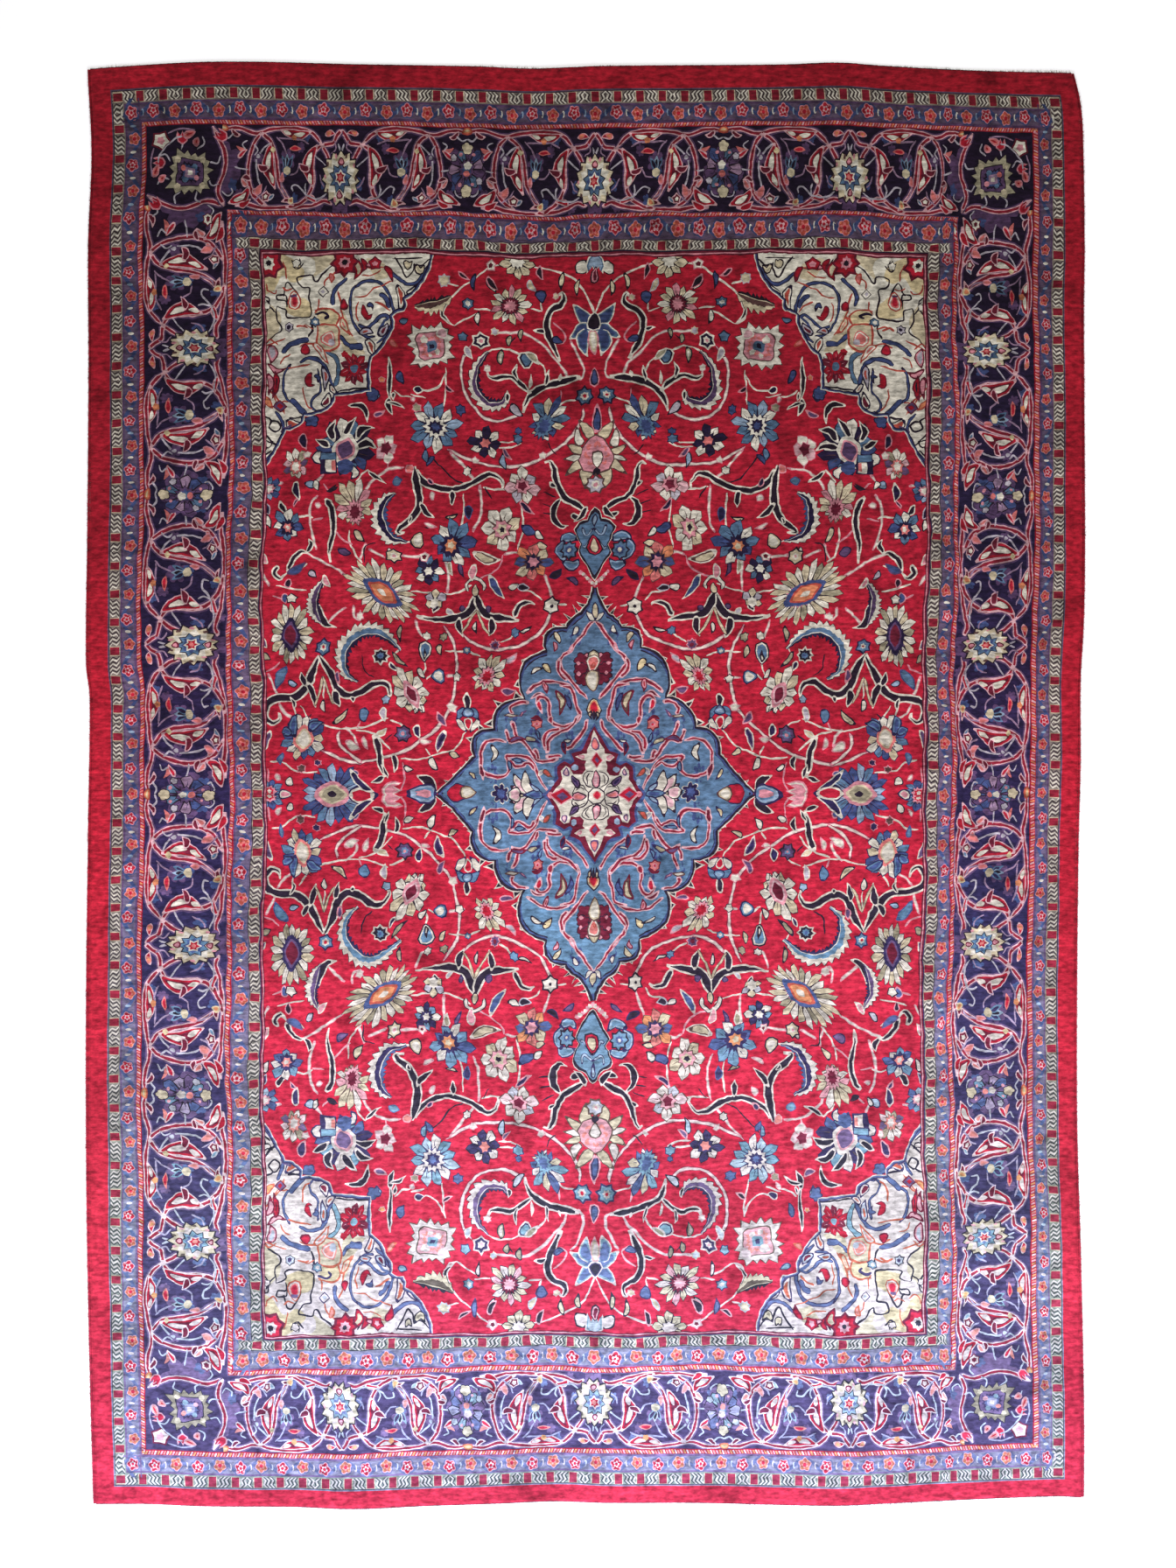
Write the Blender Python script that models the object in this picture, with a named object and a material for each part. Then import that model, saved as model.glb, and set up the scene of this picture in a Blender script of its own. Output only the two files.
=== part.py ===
"""A hand-knotted wool rug, lying flat with its pile up.

The rug's body is one slab of knotted wool. Along its long sides run the overcast selvedges, and along
its two ends the narrow web of warp ends with their short cut tufts. X runs across the rug, Y along it,
and the rug rests on z = 0. Lengths are in metres unless a name says millimetres.
"""
import math
import random
from collections import namedtuple

import bmesh
import bpy
from mathutils import Vector

MM = 0.001

# Driving dimensions.
RUG_WIDTH = 2.70
RUG_LENGTH = 3.90
PILE_THICKNESS = 10 * MM
PILE_EDGE_ROUND = 3.5 * MM
SELVEDGE_DIAMETER = 7 * MM
WEB_WIDTH = 3 * MM
WEB_THICKNESS = 2.4 * MM
TUFT_SHORTEST = 3 * MM
TUFT_LONGEST = 9 * MM
SEAM_GAP = 0.3 * MM

# How finely the body is divided across and along, and how many tufts each division of an end carries.
COLUMNS = 36
ROWS = 52
TUFTS_PER_COLUMN = 3

# How far each edge strays outwards from its straight line, as it was woven and as it lies.
Stray = namedtuple("Stray", "along_m out_mm")
LEFT_EDGE = [Stray(*row) for row in (
    (-1.95, -14), (-1.50, -2), (-1.10, 5), (-0.61, 6), (-0.10, 0), (0.24, -4), (0.33, 6),
    (0.72, 2), (1.15, -1), (1.48, 0), (1.72, -9), (1.95, 2))]
RIGHT_EDGE = [Stray(*row) for row in (
    (-1.95, 5), (-1.69, 5), (-1.26, -4), (-0.95, -13), (-0.61, -14), (-0.19, -10), (0.07, -4),
    (0.28, -4), (0.45, 5), (0.66, 8), (1.31, 5), (1.47, 7), (1.80, 2), (1.88, -6), (1.95, -22))]
BOTTOM_EDGE = [Stray(*row) for row in (
    (-1.35, 1), (-1.20, 1), (-1.06, 7), (-0.80, 9), (-0.64, 15), (-0.45, 7), (-0.24, 0), (-0.09, -6),
    (0.06, -2), (0.30, -2), (0.67, 6), (0.80, 1), (1.04, -11), (1.28, -20), (1.35, -17))]
TOP_EDGE = [Stray(*row) for row in (
    (-1.35, -8), (-1.18, 4), (-1.04, 11), (-0.87, 11), (-0.65, 5), (-0.30, -1), (-0.14, -7), (0.06, 0),
    (0.55, 4), (0.70, 9), (0.83, 0), (1.04, -11), (1.16, -15), (1.35, -19))]
# An edge's straying fades across the rug with this power of the distance from the far edge.
STRAY_FADE = 3

# Slow rolls of the pile, and the soft creases where the rug was once folded.
Roll = namedtuple("Roll", "height_mm waves_across waves_along phase")
ROLLS = [Roll(*row) for row in ((0.5, 1.5, 2.5, 0.4), (0.4, -2.5, 4.0, 1.9), (0.3, 4.0, 1.5, 4.1))]
Crease = namedtuple("Crease", "along_m height_mm half_width_mm")
CREASES = [Crease(*row) for row in ((0.29, 1.2, 45), (0.78, -0.8, 60), (-0.92, 0.7, 60))]

# Where the warp ends were left longer: the place along the end, how far it spreads, and the share of
# the longest tuft that is reached there.
Growth = namedtuple("Growth", "along_m spread_m share")
TOP_GROWTH = [Growth(*row) for row in (
    (-1.27, 0.06, 0.8), (-0.20, 0.10, 0.9), (0.05, 0.05, 0.4), (0.94, 0.10, 0.8), (1.25, 0.14, 1.0))]
BOTTOM_GROWTH = [Growth(*row) for row in (
    (-0.95, 0.04, 0.6), (-0.58, 0.08, 0.9), (0.44, 0.03, 0.7), (0.82, 0.16, 1.0), (1.28, 0.05, 0.7))]


def stray(edge, along):
    """Metres that an edge lies outside its straight line, on a smooth curve through its rows."""
    along = min(max(along, edge[0].along_m), edge[-1].along_m)
    last = len(edge) - 2
    i = min(max(k for k, row in enumerate(edge) if row.along_m <= along), last)
    before, here, there, after = (edge[max(i - 1, 0)], edge[i], edge[i + 1], edge[min(i + 2, last + 1)])
    span = there.along_m - here.along_m
    t = (along - here.along_m) / span
    slope_here = (there.out_mm - before.out_mm) / (there.along_m - before.along_m) * span
    slope_there = (after.out_mm - here.out_mm) / (after.along_m - here.along_m) * span
    out_mm = ((2 * t ** 3 - 3 * t ** 2 + 1) * here.out_mm + (t ** 3 - 2 * t ** 2 + t) * slope_here
              + (3 * t ** 2 - 2 * t ** 3) * there.out_mm + (t ** 3 - t ** 2) * slope_there)
    return out_mm * MM


def place(across, along):
    """The point of the rug at a share of its width and a share of its length, both from 0 to 1."""
    x = (across - 0.5) * RUG_WIDTH
    y = (along - 0.5) * RUG_LENGTH
    x_strayed = x + across ** STRAY_FADE * stray(RIGHT_EDGE, y) - (1 - across) ** STRAY_FADE * stray(LEFT_EDGE, y)
    y_strayed = y + along ** STRAY_FADE * stray(TOP_EDGE, x) - (1 - along) ** STRAY_FADE * stray(BOTTOM_EDGE, x)
    return Vector((x_strayed, y_strayed, 0))


def body_place(across, along):
    """The same point on the body, which stops short of the sides to leave room for the selvedges."""
    inset = SELVEDGE_DIAMETER + SEAM_GAP
    return place(across, along) + Vector((inset * (1 - 2 * across), 0, 0))


def pile_height(x, y):
    """Height of the pile's surface over the floor."""
    height = PILE_THICKNESS
    for roll in ROLLS:
        turns = roll.waves_across * x / RUG_WIDTH + roll.waves_along * y / RUG_LENGTH
        height += roll.height_mm * MM * math.sin(2 * math.pi * turns + roll.phase)
    for crease in CREASES:
        height += crease.height_mm * MM * math.exp(-((y - crease.along_m) / (crease.half_width_mm * MM)) ** 2)
    return height


def make_material(name, colour, roughness):
    material = bpy.data.materials.new(name)
    material.use_nodes = True
    shader = material.node_tree.nodes["Principled BSDF"]
    shader.inputs["Base Color"].default_value = (*colour, 1)
    shader.inputs["Roughness"].default_value = roughness
    shader.inputs["Metallic"].default_value = 0
    return material


def make_piece(name, bm, material, collection):
    """A new object from a finished mesh, with its faces turned outwards."""
    bmesh.ops.recalc_face_normals(bm, faces=bm.faces)
    mesh = bpy.data.meshes.new(name)
    bm.to_mesh(mesh)
    bm.free()
    piece = bpy.data.objects.new(name, mesh)
    mesh.materials.append(material)
    collection.objects.link(piece)
    return piece


def slab_of_grid(columns, rows, locate, height):
    """A slab over a grid of points, flat underneath at z = 0. Its underside is one face."""
    bm = bmesh.new()
    bmesh.ops.create_grid(bm, x_segments=columns, y_segments=rows, size=0.5)
    for vert in bm.verts:
        point = locate(vert.co.x + 0.5, vert.co.y + 0.5)
        vert.co = (point.x, point.y, height(point.x, point.y))
    extruded = bmesh.ops.extrude_face_region(bm, geom=bm.faces[:])["geom"]
    for vert in (item for item in extruded if isinstance(item, bmesh.types.BMVert)):
        vert.co.z = 0
    underside = [face for face in bm.faces if all(vert.co.z == 0 for vert in face.verts)]
    bmesh.ops.dissolve_faces(bm, faces=underside)
    bmesh.ops.recalc_face_normals(bm, faces=bm.faces)
    return bm


def make_body(collection):
    """The knotted body: its pile rises and rolls a little, and its upper rim is rounded."""
    bm = slab_of_grid(COLUMNS, ROWS, body_place, pile_height)
    upper_rim = [edge for edge in bm.edges
                 if all(vert.co.z > 0 for vert in edge.verts)
                 and any(abs(face.normal.z) < 0.5 for face in edge.link_faces)
                 and any(face.normal.z > 0.5 for face in edge.link_faces)]
    bmesh.ops.bevel(bm, geom=upper_rim, offset=PILE_EDGE_ROUND, segments=2, profile=0.5, affect="EDGES")
    for face in bm.faces:
        face.smooth = abs(face.normal.z) > 0.1
    return make_piece("rug_body", bm, make_material("wool pile", (0.45, 0.03, 0.05), 0.9), collection)


def make_selvedge(name, across, inward, collection):
    """An overcast edge: warps wrapped round with wool into a cord that follows the rug's side."""
    radius = SELVEDGE_DIAMETER / 2
    curve = bpy.data.curves.new(name, "CURVE")
    curve.dimensions = "3D"
    curve.bevel_depth = radius
    curve.bevel_resolution = 2
    curve.use_fill_caps = True
    spline = curve.splines.new("POLY")
    spline.points.add(ROWS)
    for row, point in enumerate(spline.points):
        spot = place(across, row / ROWS) + Vector((inward * radius, 0, radius))
        point.co = (*spot, 1)
    curve.materials.append(make_material("overcast wool", (0.33, 0.02, 0.04), 0.85))
    selvedge = bpy.data.objects.new(name, curve)
    collection.objects.link(selvedge)
    return selvedge


def tuft_length(growth, along, rng):
    """Length of one tuft: short everywhere, longer where the warps were left."""
    share = max(row.share * math.exp(-((along - row.along_m) / row.spread_m) ** 2) for row in growth)
    length = TUFT_SHORTEST + (TUFT_LONGEST - TUFT_SHORTEST) * share
    return length * rng.uniform(0.7, 1.0)


def make_warp_ends(name, end, outward, growth, seed, collection):
    """The web of warp ends along one end of the rug, with its cut tufts lying on the floor.

    The web follows the body's end column by column, so the two keep an even gap. Every second
    division of its front is drawn out into a tuft.
    """
    rng = random.Random(seed)
    divisions = COLUMNS * TUFTS_PER_COLUMN * 2

    def locate(across, depth):
        column, share = divmod(across * COLUMNS, 1)
        column = min(int(column), COLUMNS - 1)
        share = across * COLUMNS - column
        here = body_place(column / COLUMNS, end)
        there = body_place((column + 1) / COLUMNS, end)
        spot = here.lerp(there, share)
        return spot + Vector((0, outward * (SEAM_GAP + depth * WEB_WIDTH), 0))

    bm = slab_of_grid(divisions, 1, locate, lambda x, y: WEB_THICKNESS)
    front = [face for face in bm.faces
             if face.normal.y * outward > 0.7 and max(vert.co.z for vert in face.verts) > 0]
    front.sort(key=lambda face: face.calc_center_median().x)
    roots = front[::2]
    drawn = bmesh.ops.extrude_discrete_faces(bm, faces=roots)["faces"]
    drawn.sort(key=lambda face: face.calc_center_median().x)
    for face in drawn:
        middle = face.calc_center_median()
        length = tuft_length(growth, middle.x, rng)
        lean = rng.uniform(-0.35, 0.35) * length
        for vert in face.verts:
            vert.co.x = middle.x + (vert.co.x - middle.x) * 0.45 + lean
            vert.co.y += outward * length
            vert.co.z *= 0.5
    return make_piece(name, bm, make_material("cotton warp", (0.72, 0.66, 0.55), 0.9), collection)


def centre_on_floor(pieces):
    """Move every piece by the same amount, so that the rug's box is centred over the origin."""
    bpy.context.view_layer.update()
    corners = [piece.matrix_world @ Vector(corner) for piece in pieces for corner in piece.bound_box]
    middle_x = (min(c.x for c in corners) + max(c.x for c in corners)) / 2
    middle_y = (min(c.y for c in corners) + max(c.y for c in corners)) / 2
    for piece in pieces:
        piece.location -= Vector((middle_x, middle_y, 0))


def build_rug():
    for old in list(bpy.data.objects):
        bpy.data.objects.remove(old, do_unlink=True)
    collection = bpy.data.collections.new("persian rug")
    bpy.context.scene.collection.children.link(collection)
    pieces = [
        make_body(collection),
        make_selvedge("selvedge_left", 0, 1, collection),
        make_selvedge("selvedge_right", 1, -1, collection),
        make_warp_ends("warp_ends_top", 1, 1, TOP_GROWTH, 11, collection),
        make_warp_ends("warp_ends_bottom", 0, -1, BOTTOM_GROWTH, 12, collection),
    ]
    centre_on_floor(pieces)


build_rug()
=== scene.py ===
"""The looks of a hand-knotted wool rug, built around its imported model.

The pattern is charted in knots from the rug's centre, x to the right and y towards the top end, as
complex numbers x + y * 1j. One quarter is charted and mirrored. Each yarn's area is woven into the pile
as its own faces, and the whole is then laid into the rug's own uneven shape.
"""
import cmath
import math

import bpy
import numpy as np
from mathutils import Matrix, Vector
from mathutils.geometry import delaunay_2d_cdt


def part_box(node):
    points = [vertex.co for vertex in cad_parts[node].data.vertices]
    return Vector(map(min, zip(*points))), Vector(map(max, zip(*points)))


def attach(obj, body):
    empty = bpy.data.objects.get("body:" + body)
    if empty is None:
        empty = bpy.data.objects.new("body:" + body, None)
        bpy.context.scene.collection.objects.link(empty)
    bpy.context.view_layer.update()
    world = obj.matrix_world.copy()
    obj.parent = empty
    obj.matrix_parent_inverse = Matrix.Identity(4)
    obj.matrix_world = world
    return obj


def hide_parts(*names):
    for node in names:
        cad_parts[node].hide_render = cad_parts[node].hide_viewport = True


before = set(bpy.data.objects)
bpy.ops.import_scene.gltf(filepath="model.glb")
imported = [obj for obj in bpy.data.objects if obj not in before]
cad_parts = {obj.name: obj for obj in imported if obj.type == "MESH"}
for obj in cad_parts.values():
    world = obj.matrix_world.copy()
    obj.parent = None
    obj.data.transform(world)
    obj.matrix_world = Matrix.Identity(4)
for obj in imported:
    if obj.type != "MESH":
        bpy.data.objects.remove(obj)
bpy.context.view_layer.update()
bpy.ops.object.select_all(action="DESELECT")


# ---- Camera, floor and lights --------------------------------------------------------------------
# The camera looks straight down on the rug, as in the photograph. The floor is plain and pale. A broad
# cool window light stands past the rug's near end and a weaker warm one past its far end.
MM = 0.001
PHOTO_HEIGHT_M = 4.261          # how much floor the photograph takes in from top to bottom
PHOTO_MIDDLE = Vector((0.007, 0.006, 0))
LENS_MM, SENSOR_MM = 50, 36
FLOOR_SIZE, FLOOR_DROP = 30, 0.5 * MM
FLOOR_GLOW = 0.45
WORLD_GLOW = 0.35

camera_data = bpy.data.cameras.new("camera")
camera_data.lens = LENS_MM
camera_data.sensor_fit = "VERTICAL"
camera_data.sensor_height = SENSOR_MM
camera_height = PHOTO_HEIGHT_M / 2 / (SENSOR_MM / 2 / LENS_MM)
camera = bpy.data.objects.new("camera", camera_data)
camera.location = PHOTO_MIDDLE + Vector((0, 0, camera_height))
bpy.context.scene.collection.objects.link(camera)
bpy.context.scene.camera = camera
bpy.context.scene.view_settings.view_transform = "Standard"


class Socket:
    """A shader socket that takes part in Python sums, each of which adds its Math nodes."""

    def __init__(self, material, output):
        self.material = material
        self.output = output

    def _math(self, operation, *values):
        return self.material.node("ShaderNodeMath", {"operation": operation}, dict(enumerate(values)))

    def __add__(self, other): return self._math("ADD", self, other)
    def __radd__(self, other): return self._math("ADD", other, self)
    def __sub__(self, other): return self._math("SUBTRACT", self, other)
    def __rsub__(self, other): return self._math("SUBTRACT", other, self)
    def __mul__(self, other): return self._math("MULTIPLY", self, other)
    def __rmul__(self, other): return self._math("MULTIPLY", other, self)
    def __truediv__(self, other): return self._math("DIVIDE", self, other)


class Finish:
    """A material under construction, with one Principled shader."""

    def __init__(self, name, **settings):
        self.made = bpy.data.materials.new(name)
        self.made.use_nodes = True
        self.tree = self.made.node_tree
        self.shader = self.tree.nodes["Principled BSDF"]
        for socket, value in settings.items():
            self.shader.inputs[socket.replace("_", " ")].default_value = value

    def node(self, kind, settings=None, values=None, output=0):
        made = self.tree.nodes.new(kind)
        for key, value in (settings or {}).items():
            setattr(made, key, value)
        for key, value in (values or {}).items():
            if isinstance(value, Socket):
                self.tree.links.new(value.output, made.inputs[key])
            else:
                made.inputs[key].default_value = value
        return Socket(self, made.outputs[output])

    def feed(self, socket, value):
        self.tree.links.new(value.output, self.shader.inputs[socket])


floor_finish = Finish("studio floor", Base_Color=(0.86, 0.86, 0.86, 1), Roughness=0.9)
floor_finish.shader.inputs["Emission Color"].default_value = (1, 1, 1, 1)
floor_finish.shader.inputs["Emission Strength"].default_value = FLOOR_GLOW
bpy.ops.mesh.primitive_plane_add(size=FLOOR_SIZE, location=(0, 0, -FLOOR_DROP))
floor = bpy.context.object
floor.name = "floor"
floor.data.materials.append(floor_finish.made)


def soft_light(name, place, aim, size, power, colour):
    """A broad area light."""
    lamp = bpy.data.lights.new(name, "AREA")
    lamp.shape = "RECTANGLE"
    lamp.size, lamp.size_y = size
    lamp.energy = power
    lamp.color = colour
    held = bpy.data.objects.new(name, lamp)
    held.location = place
    held.rotation_euler = (Vector(aim) - Vector(place)).to_track_quat("-Z", "Y").to_euler()
    bpy.context.scene.collection.objects.link(held)


soft_light("window", (0, -3.0, 3.0), (0, -0.7, 0), (3.4, 2.0), 215, (0.86, 0.88, 1.0))
soft_light("room lamp", (0.6, 3.2, 4.2), (0, 0.6, 0), (2.5, 2.5), 24, (1.0, 0.96, 0.92))
world = bpy.data.worlds.new("studio")
world.use_nodes = True
world.node_tree.nodes["Background"].inputs["Color"].default_value = (1.0, 0.99, 0.98, 1)
world.node_tree.nodes["Background"].inputs["Strength"].default_value = WORLD_GLOW
bpy.context.scene.world = world


# ---- How the rug lies ----------------------------------------------------------------------------
# The chart is even, and the rug is not: each border is a little wider on one side than on another, the
# edges stray, and the pile rolls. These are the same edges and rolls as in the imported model.
KNOT = 2.378 * MM
RUG_WIDTH, RUG_LENGTH = 2.70, 3.90
PILE_THICKNESS = 10 * MM
PILE_EDGE_ROUND = 3.5 * MM
SIDE_INSET = 7.3 * MM
STRAY_FADE = 3

# Chart widths of the bands, from the outside in, and as woven on each side of the rug, in knots.
BANDS = {                 # chart   left    right   top     bottom
    "red band":            (23.5,   23.5,   20.5,   27.0,   20.5),
    "outer block stripe":  (14.0,   13.5,   13.5,   15.2,   14.5),
    "outer guard":         (18.0,   18.0,   14.0,   21.5,   20.0),
    "outer rope":          (6.5,    6.5,    8.0,    6.5,    7.0),
    "main border":         (92.0,   95.5,   85.0,   96.5,   87.0),
    "inner rope":          (6.5,    6.5,    6.0,    5.5,    7.0),
    "inner guard":         (19.5,   19.5,   14.5,   25.0,   21.0),
    "inner block stripe":  (13.5,   14.0,   13.0,   13.0,   13.5),
    "field line":          (4.5,    4.5,    5.0,    6.0,    4.5),
}
FIELD_HALF = complex(377, 611)      # half the field, in knots
LEFT_EDGE = (
    (-1.95, -14), (-1.50, -2), (-1.10, 5), (-0.61, 6), (-0.10, 0), (0.24, -4), (0.33, 6),
    (0.72, 2), (1.15, -1), (1.48, 0), (1.72, -9), (1.95, 2))
RIGHT_EDGE = (
    (-1.95, 5), (-1.69, 5), (-1.26, -4), (-0.95, -13), (-0.61, -14), (-0.19, -10), (0.07, -4),
    (0.28, -4), (0.45, 5), (0.66, 8), (1.31, 5), (1.47, 7), (1.80, 2), (1.88, -6), (1.95, -22))
BOTTOM_EDGE = (
    (-1.35, 1), (-1.20, 1), (-1.06, 7), (-0.80, 9), (-0.64, 15), (-0.45, 7), (-0.24, 0), (-0.09, -6),
    (0.06, -2), (0.30, -2), (0.67, 6), (0.80, 1), (1.04, -11), (1.28, -20), (1.35, -17))
TOP_EDGE = (
    (-1.35, -8), (-1.18, 4), (-1.04, 11), (-0.87, 11), (-0.65, 5), (-0.30, -1), (-0.14, -7), (0.06, 0),
    (0.55, 4), (0.70, 9), (0.83, 0), (1.04, -11), (1.16, -15), (1.35, -19))
ROLLS = ((0.5, 1.5, 2.5, 0.4), (0.4, -2.5, 4.0, 1.9), (0.3, 4.0, 1.5, 4.1))
CREASES = ((0.29, 1.2, 45), (0.78, -0.8, 60), (-0.92, 0.7, 60))


def band_lines(column, field_half):
    """Where the band lines lie along one direction, from the field's edge outwards, in knots."""
    widths = [row[column] for row in BANDS.values()][::-1]
    return field_half + np.concatenate([[0], np.cumsum(widths)])


def stray(edge, along):
    """Metres that an edge lies outside its straight line, on a smooth curve through its rows."""
    place, out = np.array(edge).T
    along = np.clip(along, place[0], place[-1])
    i = np.clip(np.searchsorted(place, along, side="right") - 1, 0, len(place) - 2)
    before, after = np.maximum(i - 1, 0), np.minimum(i + 2, len(place) - 1)
    span = place[i + 1] - place[i]
    t = (along - place[i]) / span
    slope_here = (out[i + 1] - out[before]) / (place[i + 1] - place[before]) * span
    slope_there = (out[after] - out[i]) / (place[after] - place[i]) * span
    return ((2 * t ** 3 - 3 * t ** 2 + 1) * out[i] + (t ** 3 - 2 * t ** 2 + t) * slope_here
            + (3 * t ** 2 - 2 * t ** 3) * out[i + 1] + (t ** 3 - t ** 2) * slope_there) * MM


LINES_ACROSS = band_lines(0, FIELD_HALF.real)
LINES_ALONG = band_lines(0, FIELD_HALF.imag)
CHART_ACROSS = np.concatenate([-LINES_ACROSS[::-1], LINES_ACROSS])
CHART_ALONG = np.concatenate([-LINES_ALONG[::-1], LINES_ALONG])
WOVEN_ACROSS = np.concatenate([-band_lines(1, FIELD_HALF.real)[::-1], band_lines(2, FIELD_HALF.real)])
WOVEN_ALONG = np.concatenate([-band_lines(4, FIELD_HALF.imag)[::-1], band_lines(3, FIELD_HALF.imag)])
HALF_CHART = complex(LINES_ACROSS[-1], LINES_ALONG[-1])


def lay(x, y):
    """Chart places, in knots, to places on the floor, in metres."""
    wander = (1 - (x / HALF_CHART.real) ** 8) * (1 - (y / HALF_CHART.imag) ** 8)
    wander_x = (1.3 * np.sin(x / 23 + y / 31 + 1) + 0.7 * np.sin(x / 11 - y / 9) + 1.2 * np.sin(y / 67 + 2)
                + 0.9 * np.sin(x / 2.9 + 2 * np.sin(y / 7)) * np.sin(y / 3.3 + 1.5 * np.sin(x / 6)))
    wander_y = (1.3 * np.sin(y / 27 - x / 35 + 4) + 0.7 * np.sin(y / 10 + x / 13) + 1.2 * np.sin(x / 59 + 5)
                + 0.9 * np.sin(y / 2.7 + 2 * np.sin(x / 6.3)) * np.sin(x / 3.5 + 1.5 * np.sin(y / 5)))
    across = np.interp(x, CHART_ACROSS, WOVEN_ACROSS) + wander * wander_x
    along = np.interp(y, CHART_ALONG, WOVEN_ALONG) + wander * wander_y
    across = (across - WOVEN_ACROSS[0]) / (WOVEN_ACROSS[-1] - WOVEN_ACROSS[0])
    along = (along - WOVEN_ALONG[0]) / (WOVEN_ALONG[-1] - WOVEN_ALONG[0])
    x, y = (across - 0.5) * RUG_WIDTH, (along - 0.5) * RUG_LENGTH
    x_laid = (x + across ** STRAY_FADE * stray(RIGHT_EDGE, y)
              - (1 - across) ** STRAY_FADE * stray(LEFT_EDGE, y))
    y_laid = (y + along ** STRAY_FADE * stray(TOP_EDGE, x)
              - (1 - along) ** STRAY_FADE * stray(BOTTOM_EDGE, x))
    return x_laid + SIDE_INSET * (1 - 2 * across), y_laid


def pile_height(x, y):
    """Height of the pile's surface over the floor, at places in metres."""
    height = PILE_THICKNESS
    for height_mm, waves_across, waves_along, phase in ROLLS:
        turns = waves_across * x / RUG_WIDTH + waves_along * y / RUG_LENGTH
        height = height + height_mm * MM * np.sin(2 * np.pi * turns + phase)
    for along_m, height_mm, half_width_mm in CREASES:
        height = height + height_mm * MM * np.exp(-((y - along_m) / (half_width_mm * MM)) ** 2)
    return height


rim_run = np.linspace(-1, 1, 2001)
rim_end = np.ones_like(rim_run)
rim_x, rim_y = lay(np.concatenate([rim_run, rim_run, rim_end, -rim_end]) * HALF_CHART.real,
                   np.concatenate([rim_end, -rim_end, rim_run, rim_run]) * HALF_CHART.imag)
body_low, body_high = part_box("rug_body")
SHIFT_X = (body_low.x + body_high.x - rim_x.min() - rim_x.max()) / 2
SHIFT_Y = (body_low.y + body_high.y - rim_y.min() - rim_y.max()) / 2


# ---- Wool pile -----------------------------------------------------------------------------------
# One finish serves all the pile. It takes each face's yarn colour, and adds the streaks of the rows of
# knots, the uneven dye of the wool, the tips of the cut pile and its soft bloom. Into the colour it also
# paints shade and light: dark clouds of painted fold shade, and painted light and sheen that make the wool
# paler and bluer towards the near end and darker towards the far end.
BRIGHTNESS = 1.03
ROW_STREAKS, CLUMPING, ABRASH = 1.25, 2.1, 0.9      # how strongly each of them shades the wool
BLOOM = 0.38                    # how much of a deep dye's brightness the pile's soft tips take away
BUMP_DEPTH, BUMP_STRENGTH = 6 * MM, 0.5
YARNS = {                       # sRGB as seen in the rug's middle, and how deeply dyed, from 0 up
    "red": (184, 33, 54, 1), "scarlet": (186, 32, 50, 0.8), "crimson": (164, 28, 46, 1),
    "garnet": (138, 34, 52, 1), "wine": (100, 30, 48, 1), "rose": (206, 134, 144, 0.5),
    "pink": (214, 168, 173, 0.6), "salmon": (208, 112, 108, 0.6), "rust": (176, 76, 64, 0.8),
    "orange": (208, 126, 88, 0.6), "gold": (200, 180, 140, 0.1), "ivory": (208, 198, 182, 0),
    "cream": (194, 178, 148, 0.1), "olive": (150, 140, 116, 0.05), "moss": (128, 118, 110, 0.5),
    "brown": (88, 64, 62, 0.9), "black": (39, 31, 45, 1.4), "navy": (39, 35, 69, 1.9),
    "dusk": (98, 89, 116, 1.2), "blue": (62, 78, 124, 1), "azure": (85, 119, 150, 1),
    "sky": (136, 160, 182, 0.6), "plum": (88, 68, 104, 1), "grey": (172, 164, 172, 0.3),
    "lilac": (150, 124, 150, 0.7), "cotton": (214, 206, 196, 0),
}


def linear(colour):
    """A colour from sRGB, 0 to 255, to the shader's linear values."""
    return [c / 255 / 12.92 if c / 255 <= 0.04045 else ((c / 255 + 0.055) / 1.055) ** 2.4 for c in colour[:3]]


def dye(yarn):
    """What a face stores of its yarn: its linear colour, and how deeply it is dyed."""
    return linear(YARNS[yarn]) + [YARNS[yarn][3]]


wool = Finish("wool pile", Roughness=0.95, Specular_IOR_Level=0.12, Sheen_Weight=0.05, Sheen_Roughness=0.5)
wool_place = wool.node("ShaderNodeTexCoord", output=3)
yarn_dyed = wool.node("ShaderNodeAttribute", {"attribute_name": "yarn"})
depth_of_dye = Socket(wool, yarn_dyed.output.node.outputs["Alpha"])


def noise(stretch, scale, detail=2.0, offset=(0, 0, 0)):
    """Noise over the wool's own place, finer along the axes that are stretched, about 0."""
    mapped = wool.node("ShaderNodeMapping",
                       values={"Vector": wool_place, "Scale": stretch, "Location": offset})
    return wool.node("ShaderNodeTexNoise", values={"Vector": mapped, "Scale": scale, "Detail": detail}) - 0.5


rows = noise((1, 5, 1), 24, 3)
clumps = noise((1, 1.6, 1), 60, 4)
abrash = noise((0.5, 1, 1), 4, 3, (3, 7, 0))
# Painted shade: soft dark clouds over the wool, standing in for the shade of the rug's folds.
fold_shadow_clouds = noise((1.2, 1, 1), 7, 2, (11, 2, 0))
painted_fold_shade = wool.node("ShaderNodeMath", {"operation": "SMOOTH_MIN"},
                  {0: 1 - 3.0 * (fold_shadow_clouds - 0.09), 1: 1.0, 2: 0.15})
tone = BRIGHTNESS * (1 + ROW_STREAKS * rows) * (1 + CLUMPING * clumps) * (1 + ABRASH * abrash) * painted_fold_shade

# Painted light and sheen along the rug: the wool is painted paler and bluer towards its near end, by the
# window, and darker towards its far end, most where it is deeply dyed.
along = wool.node("ShaderNodeSeparateXYZ", values={"Vector": wool_place}, output=1) / RUG_LENGTH + 0.5


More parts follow.
